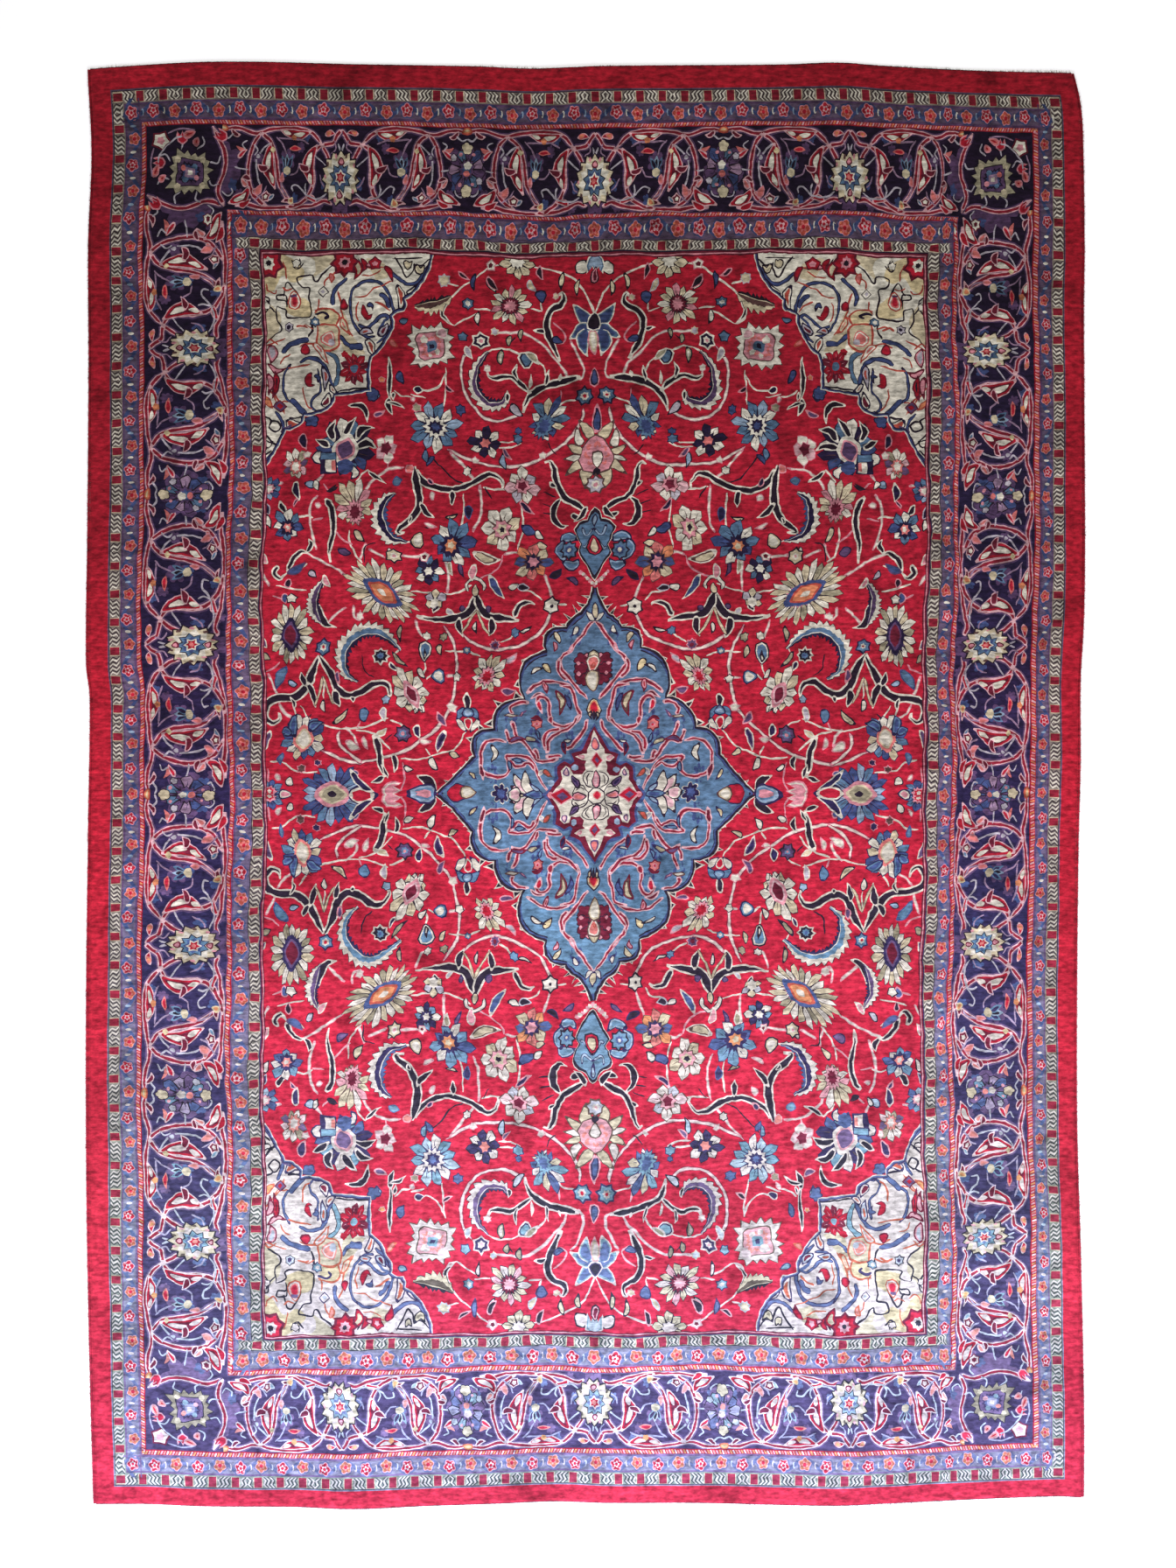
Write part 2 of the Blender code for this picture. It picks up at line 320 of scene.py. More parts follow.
def painted_light_ramp(*stops):
    """A colour of painted light along the rug, from places between 0, its near end, and 1."""
    ramp = wool.node("ShaderNodeValToRGB", values={"Fac": along})
    elements = ramp.output.node.color_ramp.elements
    for element, (place, colour) in zip(elements, (stops[0], stops[-1])):
        element.position, element.color = place, (*colour, 1)
    for place, colour in stops[1:-1]:
        elements.new(place).color = (*colour, 1)
    return ramp


plain_painted_light = painted_light_ramp((0.05, (1.05, 1.13, 1.26)), (0.35, (1, 1.02, 1.04)), (0.55, (0.98, 0.98, 0.96)),
                  (0.86, (0.82, 0.85, 0.82)))
dyed_painted_light = painted_light_ramp((0.05, (1.47, 2.75, 2.4)), (0.2, (1.47, 2.4, 1.92)), (0.32, (1.41, 1.68, 1.53)),
                 (0.445, (1.33, 1.21, 1.22)), (0.565, (1.08, 0.9, 0.89)), (0.687, (0.84, 0.74, 0.71)),
                 (0.86, (0.67, 0.56, 0.52)))
painted_light_along = wool.node("ShaderNodeMix", {"data_type": "RGBA", "clamp_factor": False},
                 {0: depth_of_dye, 6: plain_painted_light, 7: dyed_painted_light}, 2)
light_taken = wool.node("ShaderNodeVectorMath", {"operation": "MULTIPLY"}, {0: yarn_dyed, 1: painted_light_along})
glow = wool.node("ShaderNodeVectorMath", {"operation": "SCALE"},
                 {0: light_taken, "Scale": BLOOM * depth_of_dye})
glow = wool.node("ShaderNodeVectorMath", {"operation": "ADD"}, {0: glow, 1: (1, 1, 1)})
softened = wool.node("ShaderNodeVectorMath", {"operation": "DIVIDE"}, {0: light_taken, 1: glow})
# Painted sheen: towards the near end, cool yarns take a violet haze of the window's light: they keep more
# of their red, and less green.
red, blue = (wool.node("ShaderNodeSeparateXYZ", values={"Vector": yarn_dyed}, output=n) for n in (0, 2))
cool = wool.node("ShaderNodeClamp", values={"Value": 2.2 * (blue - red) / (blue + red + 0.001)})
near = wool.node("ShaderNodeMapRange", values={"Value": along, 1: 0.42, 2: 0.04})
painted_sheen_tint = wool.node("ShaderNodeMix", {"data_type": "RGBA"},
                   {0: cool, 6: (1.0, 0.98, 1.16, 1), 7: (2.15, 0.94, 0.93, 1)}, 2)
painted_sheen_tint = wool.node("ShaderNodeMix", {"data_type": "RGBA"}, {0: near, 6: (1, 1, 1, 1), 7: painted_sheen_tint}, 2)
softened = wool.node("ShaderNodeVectorMath", {"operation": "MULTIPLY"}, {0: softened, 1: painted_sheen_tint})
wool.feed("Base Color",
          wool.node("ShaderNodeVectorMath", {"operation": "SCALE"}, {0: softened, "Scale": tone}))
tips = noise((1, 1.4, 1), 260, 3)
wool.feed("Normal", wool.node("ShaderNodeBump", values={"Height": tips * 0.5 + clumps + rows,
                                                        "Distance": BUMP_DEPTH, "Strength": BUMP_STRENGTH}))


# ---- Weaving -------------------------------------------------------------------------------------
# An area is a yarn and an outline. Areas drawn later lie over the earlier ones. The outlines cut one
# quarter of the pile into faces, and each face takes the yarn of the topmost area that holds it.
FOUNDATION_TOP = 3 * MM
STRAIGHT = 0.07                 # a corner nearer than this to its neighbours' chord is left out, in knots
LONGEST_SIDE = 9.0              # knots, and so are the next three
GRID_STEP, GRID_START = 12.3, 6
SHOWN_ON_BACK = 34              # the smallest area, from corner to corner, that the back repeats
SAME_PLACE, SAME_UNDER = 1e-3, 1e-5
drawn = []                      # the areas of the piece in hand, lowest first
for_back = []                   # the larger areas of all pieces, each with its piece's region


def turned(degrees):
    """The factor that turns a place anticlockwise by some degrees."""
    return cmath.exp(1j * math.radians(degrees))


def area(yarn, outline):
    drawn.append((yarn, np.asarray(outline, complex)))


def box(low, high):
    return [low, complex(high.real, low.imag), high, complex(low.real, high.imag)]


def block(yarn, low, high):
    """A rectangle between two corners."""
    area(yarn, box(low, high))


def extent(outline):
    """The lowest and the highest place of the rectangle around an outline."""
    return complex(outline.real.min(), outline.imag.min()), complex(outline.real.max(), outline.imag.max())


def inside(points, outline):
    """Which of the points the outline winds around."""
    start, stop = outline[:, None], np.roll(outline, -1)[:, None]
    side = ((stop - start).conjugate() * (points - start)).imag
    rising = (start.imag <= points.imag) & (stop.imag > points.imag) & (side > 0)
    falling = (start.imag > points.imag) & (stop.imag <= points.imag) & (side < 0)
    return rising.sum(0) != falling.sum(0)


def subdivided(outline):
    """The outline with its long sides divided evenly, so that they can bend as the rug lies."""
    parts = []
    for start, stop in zip(outline, np.roll(outline, -1)):
        count = max(1, math.ceil(abs(stop - start) / LONGEST_SIDE))
        parts.append(start + (stop - start) * np.arange(count) / count)
    return np.concatenate(parts)


def triangulate(corners, edges, same=SAME_PLACE):
    """Triangles over the corners, each turned anticlockwise, that no edge crosses."""
    flat = [Vector((corner.real, corner.imag)) for corner in corners]
    made, _, faces, *_ = delaunay_2d_cdt(flat, edges, [], 0, same, False)
    made = np.array([complex(*corner) for corner in made])
    faces = np.array(faces)
    a, b, c = made[faces].T
    clockwise = ((b - a).conjugate() * (c - a)).imag < 0
    faces[clockwise] = faces[clockwise][:, ::-1]
    return made, faces


def sides_of(faces):
    return np.concatenate([faces[:, [0, 1]], faces[:, [1, 2]], faces[:, [2, 0]]])


def topmost_area(places, areas):
    """The number of the last area that holds each place, counted from 1, or 0 for the bare ground."""
    topmost = np.zeros(len(places), int)
    for i, (_, outline, *limits) in enumerate(areas):
        low, high = extent(outline)
        held = np.nonzero((places.real > low.real) & (places.real < high.real)
                          & (places.imag > low.imag) & (places.imag < high.imag))[0]
        for limit in (outline, *limits):
            held = held[inside(places[held], limit)]
        topmost[held] = i + 1
    return topmost


def seams(points, faces, yarn_of_face):
    """The sides of the faces where the yarn changes or the piece ends, without their needless corners."""
    sides = np.sort(sides_of(faces), axis=1)
    owner_yarn = np.tile(yarn_of_face, 3)
    order = np.lexsort((sides[:, 1], sides[:, 0]))
    sides, owner_yarn = sides[order], owner_yarn[order]
    with_next = np.append((sides[1:] == sides[:-1]).all(1), False)
    alone = ~with_next & ~np.append(False, with_next[:-1])
    changes = with_next & (owner_yarn != np.roll(owner_yarn, -1))
    fixed = set(sides[alone].ravel().tolist())
    joined = {}
    for a, b in sides[alone | changes].tolist():
        joined.setdefault(a, set()).add(b)
        joined.setdefault(b, set()).add(a)
    for corner in list(joined):
        if len(joined[corner]) == 2 and corner not in fixed:
            a, b = joined[corner]
            chord = points[b] - points[a]
            off = abs(((points[corner] - points[a]).conjugate() * chord).imag)
            if off < STRAIGHT * abs(chord) < STRAIGHT * LONGEST_SIDE and b not in joined[a]:
                del joined[corner]
                joined[a] = joined[a] - {corner} | {b}
                joined[b] = joined[b] - {corner} | {a}
    number = {corner: i for i, corner in enumerate(joined)}
    return points[list(joined)], [(number[a], number[b]) for a in joined for b in joined[a] if a < b]


def in_quarters(points, faces):
    """A quarter's points and faces, mirrored into the whole and joined along the middle lines."""
    count = len(points)
    whole = np.concatenate([points, -points.conj(), points.conj(), -points])
    faces = np.concatenate([faces, faces[:, ::-1] + count, faces[:, ::-1] + 2 * count, faces + 3 * count])
    rounded = np.round(np.column_stack([whole.real, whole.imag]), 3) + 0.0
    joined, index = np.unique(rounded, axis=0, return_inverse=True)
    return joined[:, 0] + 1j * joined[:, 1], index.reshape(-1)[faces]


def rim_rounding(points):
    """How far the pile's cut edge falls away at the rug's rim."""
    reach = PILE_EDGE_ROUND / KNOT
    inward = np.minimum(HALF_CHART.real - abs(points.real), HALF_CHART.imag - abs(points.imag))
    past = np.clip(reach - inward, 0, reach)
    return (reach - np.sqrt(reach ** 2 - past ** 2)) * KNOT


def add_piece(name, corners, faces, face_dyes, slot, *nodes):
    """A mesh from corners and faces, each face with its own dye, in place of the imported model's nodes."""
    mesh = bpy.data.meshes.new(name)
    mesh.from_pydata(np.asarray(corners).tolist(), [], faces)
    mesh.attributes.new("yarn", "FLOAT_COLOR", "FACE").data.foreach_set("color", np.ravel(face_dyes))
    mesh.materials.append(wool.made)
    piece = bpy.data.objects.new(name, mesh)
    bpy.context.scene.collection.objects.link(piece)
    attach(piece, "root")
    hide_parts(*nodes)
    return piece


def weave(name, region, surface=None, far=FOUNDATION_TOP):
    """A closed piece over the region of a quarter, mirrored, with everything that has been drawn on it.

    The surface is the pile's, unless another height is given. The piece reaches to the far height."""
    region = np.asarray(region, complex)
    low, high = extent(region)
    grid_x, grid_y = np.meshgrid(np.arange(low.real + GRID_START, high.real, GRID_STEP),
                                 np.arange(low.imag + GRID_START, high.imag, GRID_STEP))
    grid = (grid_x + 1j * grid_y).ravel()
    grid = grid[inside(grid, region)]
    met = []
    for made in drawn:
        area_low, area_high = extent(made[1])
        meets_across = area_high.real > low.real and area_low.real < high.real
        if meets_across and area_high.imag > low.imag and area_low.imag < high.imag:
            met.append(made)
    if surface is None:
        # An area with the outline of the one before it is a flower's dark edge, which the back leaves out.
        for_back.append((met[0][0], region))
        for lower, made in zip([(None, region)] + met, met):
            area_low, area_high = extent(made[1])
            if abs(area_high - area_low) > SHOWN_ON_BACK and not np.array_equal(lower[1], made[1]):
                for_back.append((*made, region))
    corners, lines = list(grid), []
    for outline in [region] + [made[1] for made in met]:
        outline = subdivided(outline)
        lines.extend((len(corners) + i, len(corners) + (i + 1) % len(outline)) for i in range(len(outline)))
        corners.extend(outline)
    names = ["red"] + [made[0] for made in met]
    yarn_number = np.array([list(YARNS).index(yarn) for yarn in names])
    points, faces = triangulate(corners, lines)
    faces = faces[inside(points[faces].mean(1), region)]
    corners, lines = seams(points, faces, yarn_number[topmost_area(points[faces].mean(1), met)])
    points, faces = triangulate(np.concatenate([corners, grid]), lines)
    faces = faces[inside(points[faces].mean(1), region)]
    topmost = topmost_area(points[faces].mean(1), met)
    drawn.clear()

    used = np.unique(faces)
    renumbered = np.zeros(len(points), int)
    renumbered[used] = np.arange(len(used))
    points, faces = in_quarters(points[used], renumbered[faces])
    topmost = np.tile(topmost, 4)
    sides = sides_of(faces)
    owner = np.tile(np.arange(len(faces)), 3)
    key, mate = sides[:, 0] * len(points) + sides[:, 1], sides[:, 1] * len(points) + sides[:, 0]
    open_side = ~np.isin(key, mate)
    sides, owner = sides[open_side], owner[open_side]
    rim_ids = np.unique(sides)
    below = np.zeros(len(points), int)
    below[rim_ids] = np.arange(len(rim_ids)) + len(points)
    walls = np.column_stack([sides[:, 0], below[sides[:, 0]], below[sides[:, 1]], sides[:, 1]])

    rim_order = {corner: i for i, corner in enumerate(rim_ids)}
    rim_made, under_faces = triangulate(points[rim_ids], [(rim_order[a], rim_order[b]) for a, b in sides],
                                        SAME_UNDER)
    centre = rim_made[under_faces].mean(1)
    under_faces = under_faces[inside(abs(centre.real) + 1j * abs(centre.imag), region)][:, ::-1] + len(points)

    x, y = lay(points.real, points.imag)
    z = pile_height(x, y) - rim_rounding(points) if surface is None else np.full(len(points), surface)
    x, y = x + SHIFT_X, y + SHIFT_Y
    corners = np.column_stack([x, y, z])
    far_corners = np.column_stack([x[rim_ids], y[rim_ids], np.full(len(rim_ids), far)])
    dyes = np.array([dye(yarn) for yarn in names])
    face_dyes = dyes[np.concatenate([topmost, topmost[owner], np.zeros(len(under_faces), int)])]
    piece = add_piece(name, np.concatenate([corners, far_corners]),
                      faces.tolist() + walls.tolist() + under_faces.tolist(), face_dyes, "wool_pile",
                      "rug_body")
    if z[0] < far:
        piece.data.flip_normals()
    return piece


# ---- The outer red band, stripes and guards --------------------------------------------------------
# Wool pile. A plain red band frames the rug. Inside it run a stripe of squiggled blocks and small wine
# squares, a dull blue guard of small rosettes, and a fine rope of pale dots on red.
def frame_region(inner, outer):
    """One quarter of the frame between two band lines."""
    x0, x1, y0, y1 = LINES_ACROSS[inner], LINES_ACROSS[outer], LINES_ALONG[inner], LINES_ALONG[outer]
    return [complex(0, y0), complex(x0, y0), complex(x0, 0), complex(x1, 0), complex(x1, y1), complex(0, y1)]


def ring(yarn, line, offset=0.0):
    """Everything inside a band line, or a little outside it, in one yarn."""
    block(yarn, -10-10j, complex(LINES_ACROSS[line] + offset, LINES_ALONG[line] + offset))


def stations(line, end_pitch, side_pitch):
    """Where a repeat stands along a quarter of the band outside a line: place, turn and pitch.

    The last one stands in the corner, and is given for both directions."""
    x = (LINES_ACROSS[line] + LINES_ACROSS[line + 1]) / 2
    y = (LINES_ALONG[line] + LINES_ALONG[line + 1]) / 2
    for turn, length, pitch, start, way in ((0, x, end_pitch, y * 1j, 1), (-90, y, side_pitch, x, 1j)):
        count = round(length / pitch)
        for i in range(count + 1):
            yield start + way * i * length / count, turn, length / count, i


def put(shapes, at, turn=0):
    """Draw (yarn, outline) shapes about a place, turned by some degrees."""
    for yarn, outline in shapes:
        area(yarn, at + np.asarray(outline, complex) * turned(turn))


def petals(count, radius, notch=0.3, point=2.0, squash=1.0, turn=0.0, steps=4):
    """The outline of a flower: its petals' tips lie on the radius, with notches cut in between."""
    step = np.arange(count * steps) / steps
    away = np.abs((step + 0.5) % 1 - 0.5) * 2
    reach = radius * (1 - notch * away ** point)
    angle = 2 * np.pi * step / count + math.radians(90 + turn)
    return reach * np.cos(angle) * squash + 1j * reach * np.sin(angle)


def block_stripe(line, width, end_pitch, side_pitch):
    """Greyish blocks full of fine black and ivory squiggles, between small wine squares."""
    half = width / 2
    ring("dusk", line + 1, 1.4)
    ring("black", line + 1, -0.2)
    ring("moss", line + 1, -1.0)
    for at, turn, pitch, i in stations(line, end_pitch, side_pitch):
        top = half - 1.3
        shapes = [("moss", box(complex(5.0, -top), complex(pitch - 5.0, top)))]
        count = 2 * round((pitch - 12) / 5.4)
        for k in range(count):
            x = pitch / 2 + (k + 0.5 - count / 2) / count * (pitch - 13)
            bend = (-1) ** (i // 2) * (2.7 if 2 * k < count or i % 3 else -2.7)
            path = x + np.array([-1, 0.4, -0.4, 1]) * bend + np.array([-1, -0.4, 0.4, 1]) * top * 1j
            thick = 0.8 if k % 2 else 0.62
            shapes.append(("ivory" if k % 2 else "black",
                           np.concatenate([path - thick, (path + thick)[::-1]])))
        shapes += [("cream", box(complex(-5.2, -top), complex(5.2, top))),
                   ("garnet", box(complex(-4.3, 1.5 - half), complex(4.3, half - 1.5)))]
        put(shapes, at, turn)


def rosette_guard(line, width, end_pitch, side_pitch):
    """Red rosettes and rusty ones by turns on dull blue, with a pale dash between each two."""
    half = width / 2
    ring("plum", line + 1)
    ring("dusk", line + 1, -2.0)
    for at, turn, pitch, i in stations(line, end_pitch, side_pitch):
        shift = (0.9 if i % 2 else -1.1) * 1j
        run = np.linspace(-0.5, 0.5, 9)
        bend = pitch * run + (1j if i % 2 else -1j) * (half - 2.4) * np.cos(np.pi * run)
        put([("plum", box(complex(-pitch / 2, -half), complex(pitch / 2, 1.6 - half))),
             ("blue", np.concatenate([bend + 2.3j, (bend - 2.3j)[::-1]]))], at, turn)
        outer, heart, dot = ("crimson", "pink", "rose") if i % 2 else ("rust", "salmon", "orange")
        heart_in, heart_notch, heart_turn = (5.4, 0.45, 50) if i % 2 else (5.0, 0.5, 30)
        rosette = [("blue", petals(5, half - 0.4, 0.12, 1.5, turn=40 * i)),
                   ("rose", petals(5, half - 1.5, 0.26, 1.3, turn=40 * i)),
                   (outer, petals(5, half - 2.5, 0.3, 1.3, turn=40 * i)),
                   (heart, petals(5, half - heart_in, heart_notch, turn=heart_turn * i)),
                   ("red", petals(4, 1.7 if i % 2 else 2, 0))]
        dots_out = half - (4 if i % 2 else 3.8)
        rosette += [(dot, dots_out * 1j ** (k + 0.5) + petals(4, 1.0, 0)) for k in range(4)]
        put([(yarn, shift + outline) for yarn, outline in rosette], at, turn)
        put([("ivory" if i % 3 else "sky", pitch / 2 + petals(4, 3.4, 0, squash=0.42))], at, turn)


def rope(line, width):
    """A chain of small pale and orange dots on red, between two plum lines."""
    ring("plum", line + 1)
    ring("crimson", line + 1, -1.0)
    half = width / 2 - 1.4
    for at, turn, pitch, i in stations(line, 3.3, 3.3):
        dot = np.array([-1.9, 0.1, 1.9, -0.1]) + np.array([-half, -half, half, half]) * 1j
        put([(("pink", "salmon", "rose", "orange")[i % 4], dot)], at, turn)


for offset in (0.0, -0.25, -0.7, -1.5):
    ring("scarlet", 9, offset)
ring("dusk", 8, 1.2)
pile = [weave("pile_red_band", frame_region(8, 9))]

block_stripe(7, 14.0, 25.4, 33)
rosette_guard(6, 18.0, 23.6, 28)
rope(5, 6.5)
ring("wine", 5, 0.4)
pile.append(weave("pile_outer_guards", frame_region(5, 8)))


# ---- The main border -------------------------------------------------------------------------------
# Wool pile. On navy, a red double vine swings between ivory palmettes and plum ones. Half a repeat is
# charted, from an ivory palmette (along 0) to a plum one (along 149), with the rug's outside upwards.
HALF_REPEAT = 149


def smooth(points, steps=4):
    """A smooth curve through the points."""
    points = np.asarray(points, complex)
    held = np.concatenate([[2 * points[0] - points[1]], points, [2 * points[-1] - points[-2]]])
    a, b, c, d = held[:-3], held[1:-2], held[2:-1], held[3:]
    t = np.arange(steps)[:, None] / steps
    curve = b + (c - a) * t / 2 + (a - 2.5 * b + 2 * c - d / 2) * t ** 2
    curve = curve + (1.5 * (b - c) + (d - a) / 2) * t ** 3
    return np.append(curve.T.ravel(), points[-1])


def strip(yarn, path, left, right):
    """The area between two offsets, to the left and to the right of a path."""
    way = np.gradient(path)
    side = 1j * way / np.maximum(abs(way), 1e-6)
    held = left + right > 0.3
    if held.sum() > 2:
        area(yarn, np.concatenate([(path + side * left)[held], (path - side * right)[held][::-1]]))


def ribbon(yarns, path, width, edge=1.5):
    """Nested ribbons along a path, each narrower by its edge on both sides than the one before it."""
    edges = edge if isinstance(edge, tuple) else (edge,) * 6
    for i, yarn in enumerate(yarns.split()):
        half = np.maximum(width / 2 - sum(edges[:i]), 0) * np.ones(len(path))
        strip(yarn, path, half, half)


def smooth_path(points, steps=4):
    """A smooth path, and the share of it that lies behind each of its points."""
    path = smooth(points, steps)
    return path, np.linspace(0, 1, len(path))


def vine(yarns, width, *points, edge=1.5):
    """A stem of even width with pointed ends."""
    path, t = smooth_path(points)
    ribbon(yarns, path, width * np.interp(t, (0, 0.06, 0.94, 1), (0.5, 1, 1, 0.5)), edge)


def leaf(yarns, width, *points, edge=1.7, belly=0.8):
    """A leaf that swells along its rib to a point."""
    path, t = smooth_path(points)
    ribbon(yarns, path, width * np.sin(np.pi * np.clip(t, 0.02, 0.98) ** belly) ** 0.75, edge)


def flower(yarns, at, radius, count, squash=1.0, turn=0.0, ribs=None, deep=0.7, opened=0.0):
    """A flower: close pointed petals with dark lines between them, then a ring and a heart.

    Its yarns are the edge's, the petals' in turn with a stroke between them, the ring's and the heart's.
    An opened one has longer petals at its head, and its heart near its foot."""
    edge, outer, *inner = yarns.split()
    outer = outer.split("/")
    heading = turned(turn)

    def place(reach, step):
        point = reach * 1j * cmath.exp(2j * math.pi * step / count)
        return at + complex(point.real * squash, point.imag) * heading

    step = np.arange(count + 1)
    uneven = 0.08 * np.sin(2.4 * step + at.real + at.imag)
    long = radius * (1 + uneven + opened * np.cos(2 * np.pi * step / count))
    lean = 0.2 * np.sin(3.7 * step + at.real)
    long[-1], lean[-1] = long[0], lean[0]
    shoulder = 1 - 0.55 * (1 - deep)
    notch = (long[:-1] + long[1:]) / 2 * deep
    silhouette = [place(reach, k + step) for k in range(count) for reach, step in (
        (long[k], lean[k]), (long[k] * shoulder, 0.34), (notch[k], 0.5), (long[k + 1] * shoulder, 0.66))]
    area(outer[0], silhouette)
    area(edge, silhouette)
    gap = count * 0.085 / radius
    for k in range(count):
        tip = long[k] - 1.3
        area(outer[k % len(outer)], [place(reach, k + step) for reach, step in (
            (radius * 0.2, 0), (notch[k - 1] * 0.94, gap - 0.5), (tip * shoulder, gap - 0.38), (tip, lean[k]),
            (tip * shoulder, 0.38 - gap), (notch[k] * 0.94, 0.5 - gap))])
        if ribs:
            side = 0.16 if k % 2 else -0.12
            area(ribs, [place(radius * 0.5, k + side - 0.06), place(tip * 0.84, k + side * 0.3),
                        place(radius * 0.5, k + side + 0.06)])
    for i, yarn in enumerate(inner):
        share = (0.46, 0.30, 0.16)[i]
        fewer = petals(max(5, count - 2 * i), radius * share, 0.3, 1.1, turn=25 * i, steps=2)
        fewer = fewer.real * squash + 1j * (fewer.imag * (1 + opened) - opened * radius * 0.8)
        if i == 0 and radius > 14:
            area(edge, at + fewer * 1.12 * heading)
        area(yarn, at + fewer * heading)


def floret(yarns, at, radius, count, squash=1.0, turn=0.0):
    """A small flower of nested rings."""
    heading = turned(turn)
    for i, yarn in enumerate(yarns.split()):
        outline = petals(count, radius * (1, 0.78, 0.42, 0.2)[i], 0.26, 1.3, steps=2)
        area(yarn, at + (outline.real * squash + 1j * outline.imag) * heading)


def bud(yarns, at, tall, wide, turn=0.0):
    """A bud: a pointed drop with nested hearts."""
    heading = turned(turn)
    step = np.linspace(0, 2 * np.pi, 11)[:-1] + np.pi / 2
    for i, yarn in enumerate(yarns.split()):
        half_high, half_wide = tall / 2 - 1.7 * i, wide / 2 - 1.5 * i
        if half_wide > 0.6:
            point = np.cos(step) * half_wide * (1 - 0.45 * np.sin(step)) + 1j * np.sin(step) * half_high
            area(yarn, at + point * heading)


def tulip(yarns, at, size, turn=0.0):
    """A tulip: three pointed petals over a round cup."""
    heading = turned(turn)
    cup = np.array([-0.1-0.5j, -0.42-0.25j, -0.5+0.2j, -0.42+0.6j, -0.2+0.15j, 0.62j,
                    0.2+0.15j, 0.42+0.6j, 0.5+0.2j, 0.42-0.25j, 0.1-0.5j])
    for i, yarn in enumerate(yarns.split()):
        area(yarn, at + cup * (size - 3.4 * i) * heading)


def square_flower(yarns, at, size, turn=0.0):
    """A flower with an uneven, squarish, toothed edge, then nested squares and toothed squares by turns."""
    angle = 2 * np.pi * np.arange(32) / 32
    square = np.exp(1j * angle) / np.maximum(abs(np.cos(angle)), abs(np.sin(angle)))
    square *= np.minimum(1, 1.24 / abs(square)) * (1 + 0.06 * np.sin(2.7 * angle + at.real))
    toothed = square * np.where(np.arange(32) % 2, 1.0 + 0.07 * np.sin(9.1 * angle), 0.8)
    heading = turned(turn)
    shares = (1.06, 1.0, 0.66, 0.61, 0.5, 0.38, 0.24, 0.12)
    for i, yarn in enumerate(yarns.split()):
        area(yarn, at + (square if i in (2, 3, 6) else toothed) * size * shares[i] * heading)


def take_drawn():
    """What has been drawn so far, as a motif to be placed."""
    motif = list(drawn)
    drawn.clear()
    return motif


# Plum shadows, the vines, then the leaves and buds on them.
BORDER_VINES = (
    (41j, 5+35j, 9+28j, 14+26j, 24+25j),
    (24+25j, 37+38j, 55+43j, 75+43j, 92+41j, 103+38j, 114+38j, 130+43j, 149+42j), (24+25j, 16+12j, 12),
    (103+38j, 112+27j, 117+8j, 117-12j, 109-30j, 92-42j),
    (10-38j, 20-34j, 37-40j, 62-43.5j, 98-43.5j, 116-40j, 132-41j),
    (24+25j, 33+18j, 36+4j, 36-15j, 43-31j, 57-41j, 70-43j), (103+38j, 90+28j, 85+14j, 80-14j, 64-40j))
for way in BORDER_VINES:
    vine("plum", 8.4, *way)
for at, size in ((70+8j, 13), (149, 30), (-30j, 20), (106+12j, 8), (128-30j, 9), (28-38j, 8), (52+22j, 7)):
    area("plum", at + petals(7, size, 0.3, squash=0.8, turn=at.real * 9))
for at, size in ((71-2j, 9), (22-16j, 8), (96+4j, 7), (136-18j, 8), (44+34j, 6), (60-34j, 7)):
    area("blue", at + petals(5, size, 0.35, squash=0.7, turn=at.imag * 9))
for way in BORDER_VINES:
    vine("pink garnet", 5.2, *way, edge=1.2)
for width, *way in ((15, 30+25j, 38+14j, 42+2j, 40-8j, 36-21j), (15, 90+28j, 93+14j, 94+2j, 90-10j, 83-24j),
                    (12, 38+40j, 52+36j, 64+37j, 78+41j), (13, 141-39j, 130-34j, 121-31j, 115-20j)):
    leaf("pink crimson wine", width, *way, edge=(1.1, 2.0), belly=1.0)
for wide, *way in ((6, 37+16j, 41+6j, 41-3j), (5, 41-6j, 40-12j, 38-17j), (6, 92+18j, 94+6j, 93-2j),
                   (5, 92-5j, 89-12j, 86-18j), (5, 46+38j, 54+36j, 60+37j), (4.5, 64+37j, 69+38j, 74+40j),
                   (6, 134-36j, 126-33j, 119-27j)):
    leaf("ivory", wide, *way, belly=0.9)
BORDER_LEAVES = (
    ("pink wine", 8, 40-1j, 47-1j, 54+4j), ("pink wine", 8, 93+1j, 101-1j, 107+4j),
    ("pink crimson", 8, 128-41j, 120-40j, 112-34j), ("pink crimson", 7, 30-36j, 38-32j, 46-33j),
    ("pink wine", 6, 114-14j, 120-10j, 126-12j), ("salmon red", 6, 67+20j, 59+21j, 52+20j),
    ("salmon", 5, 120+20j, 128+20j, 134+24j), ("pink crimson", 7, 20+36j, 13+38j, 7+37j),
    ("pink salmon", 6, 112-24j, 106-26j, 100-22j), ("pink wine", 6, 60-42j, 68-36j, 76-38j),
    ("grey azure", 5, 84-30j, 90-34j, 97-33j), ("pink wine", 6, 140+42j, 134+36j, 128+36j))
for yarns, wide, *way in BORDER_LEAVES:
    leaf(yarns, wide, *way, edge=1.2)
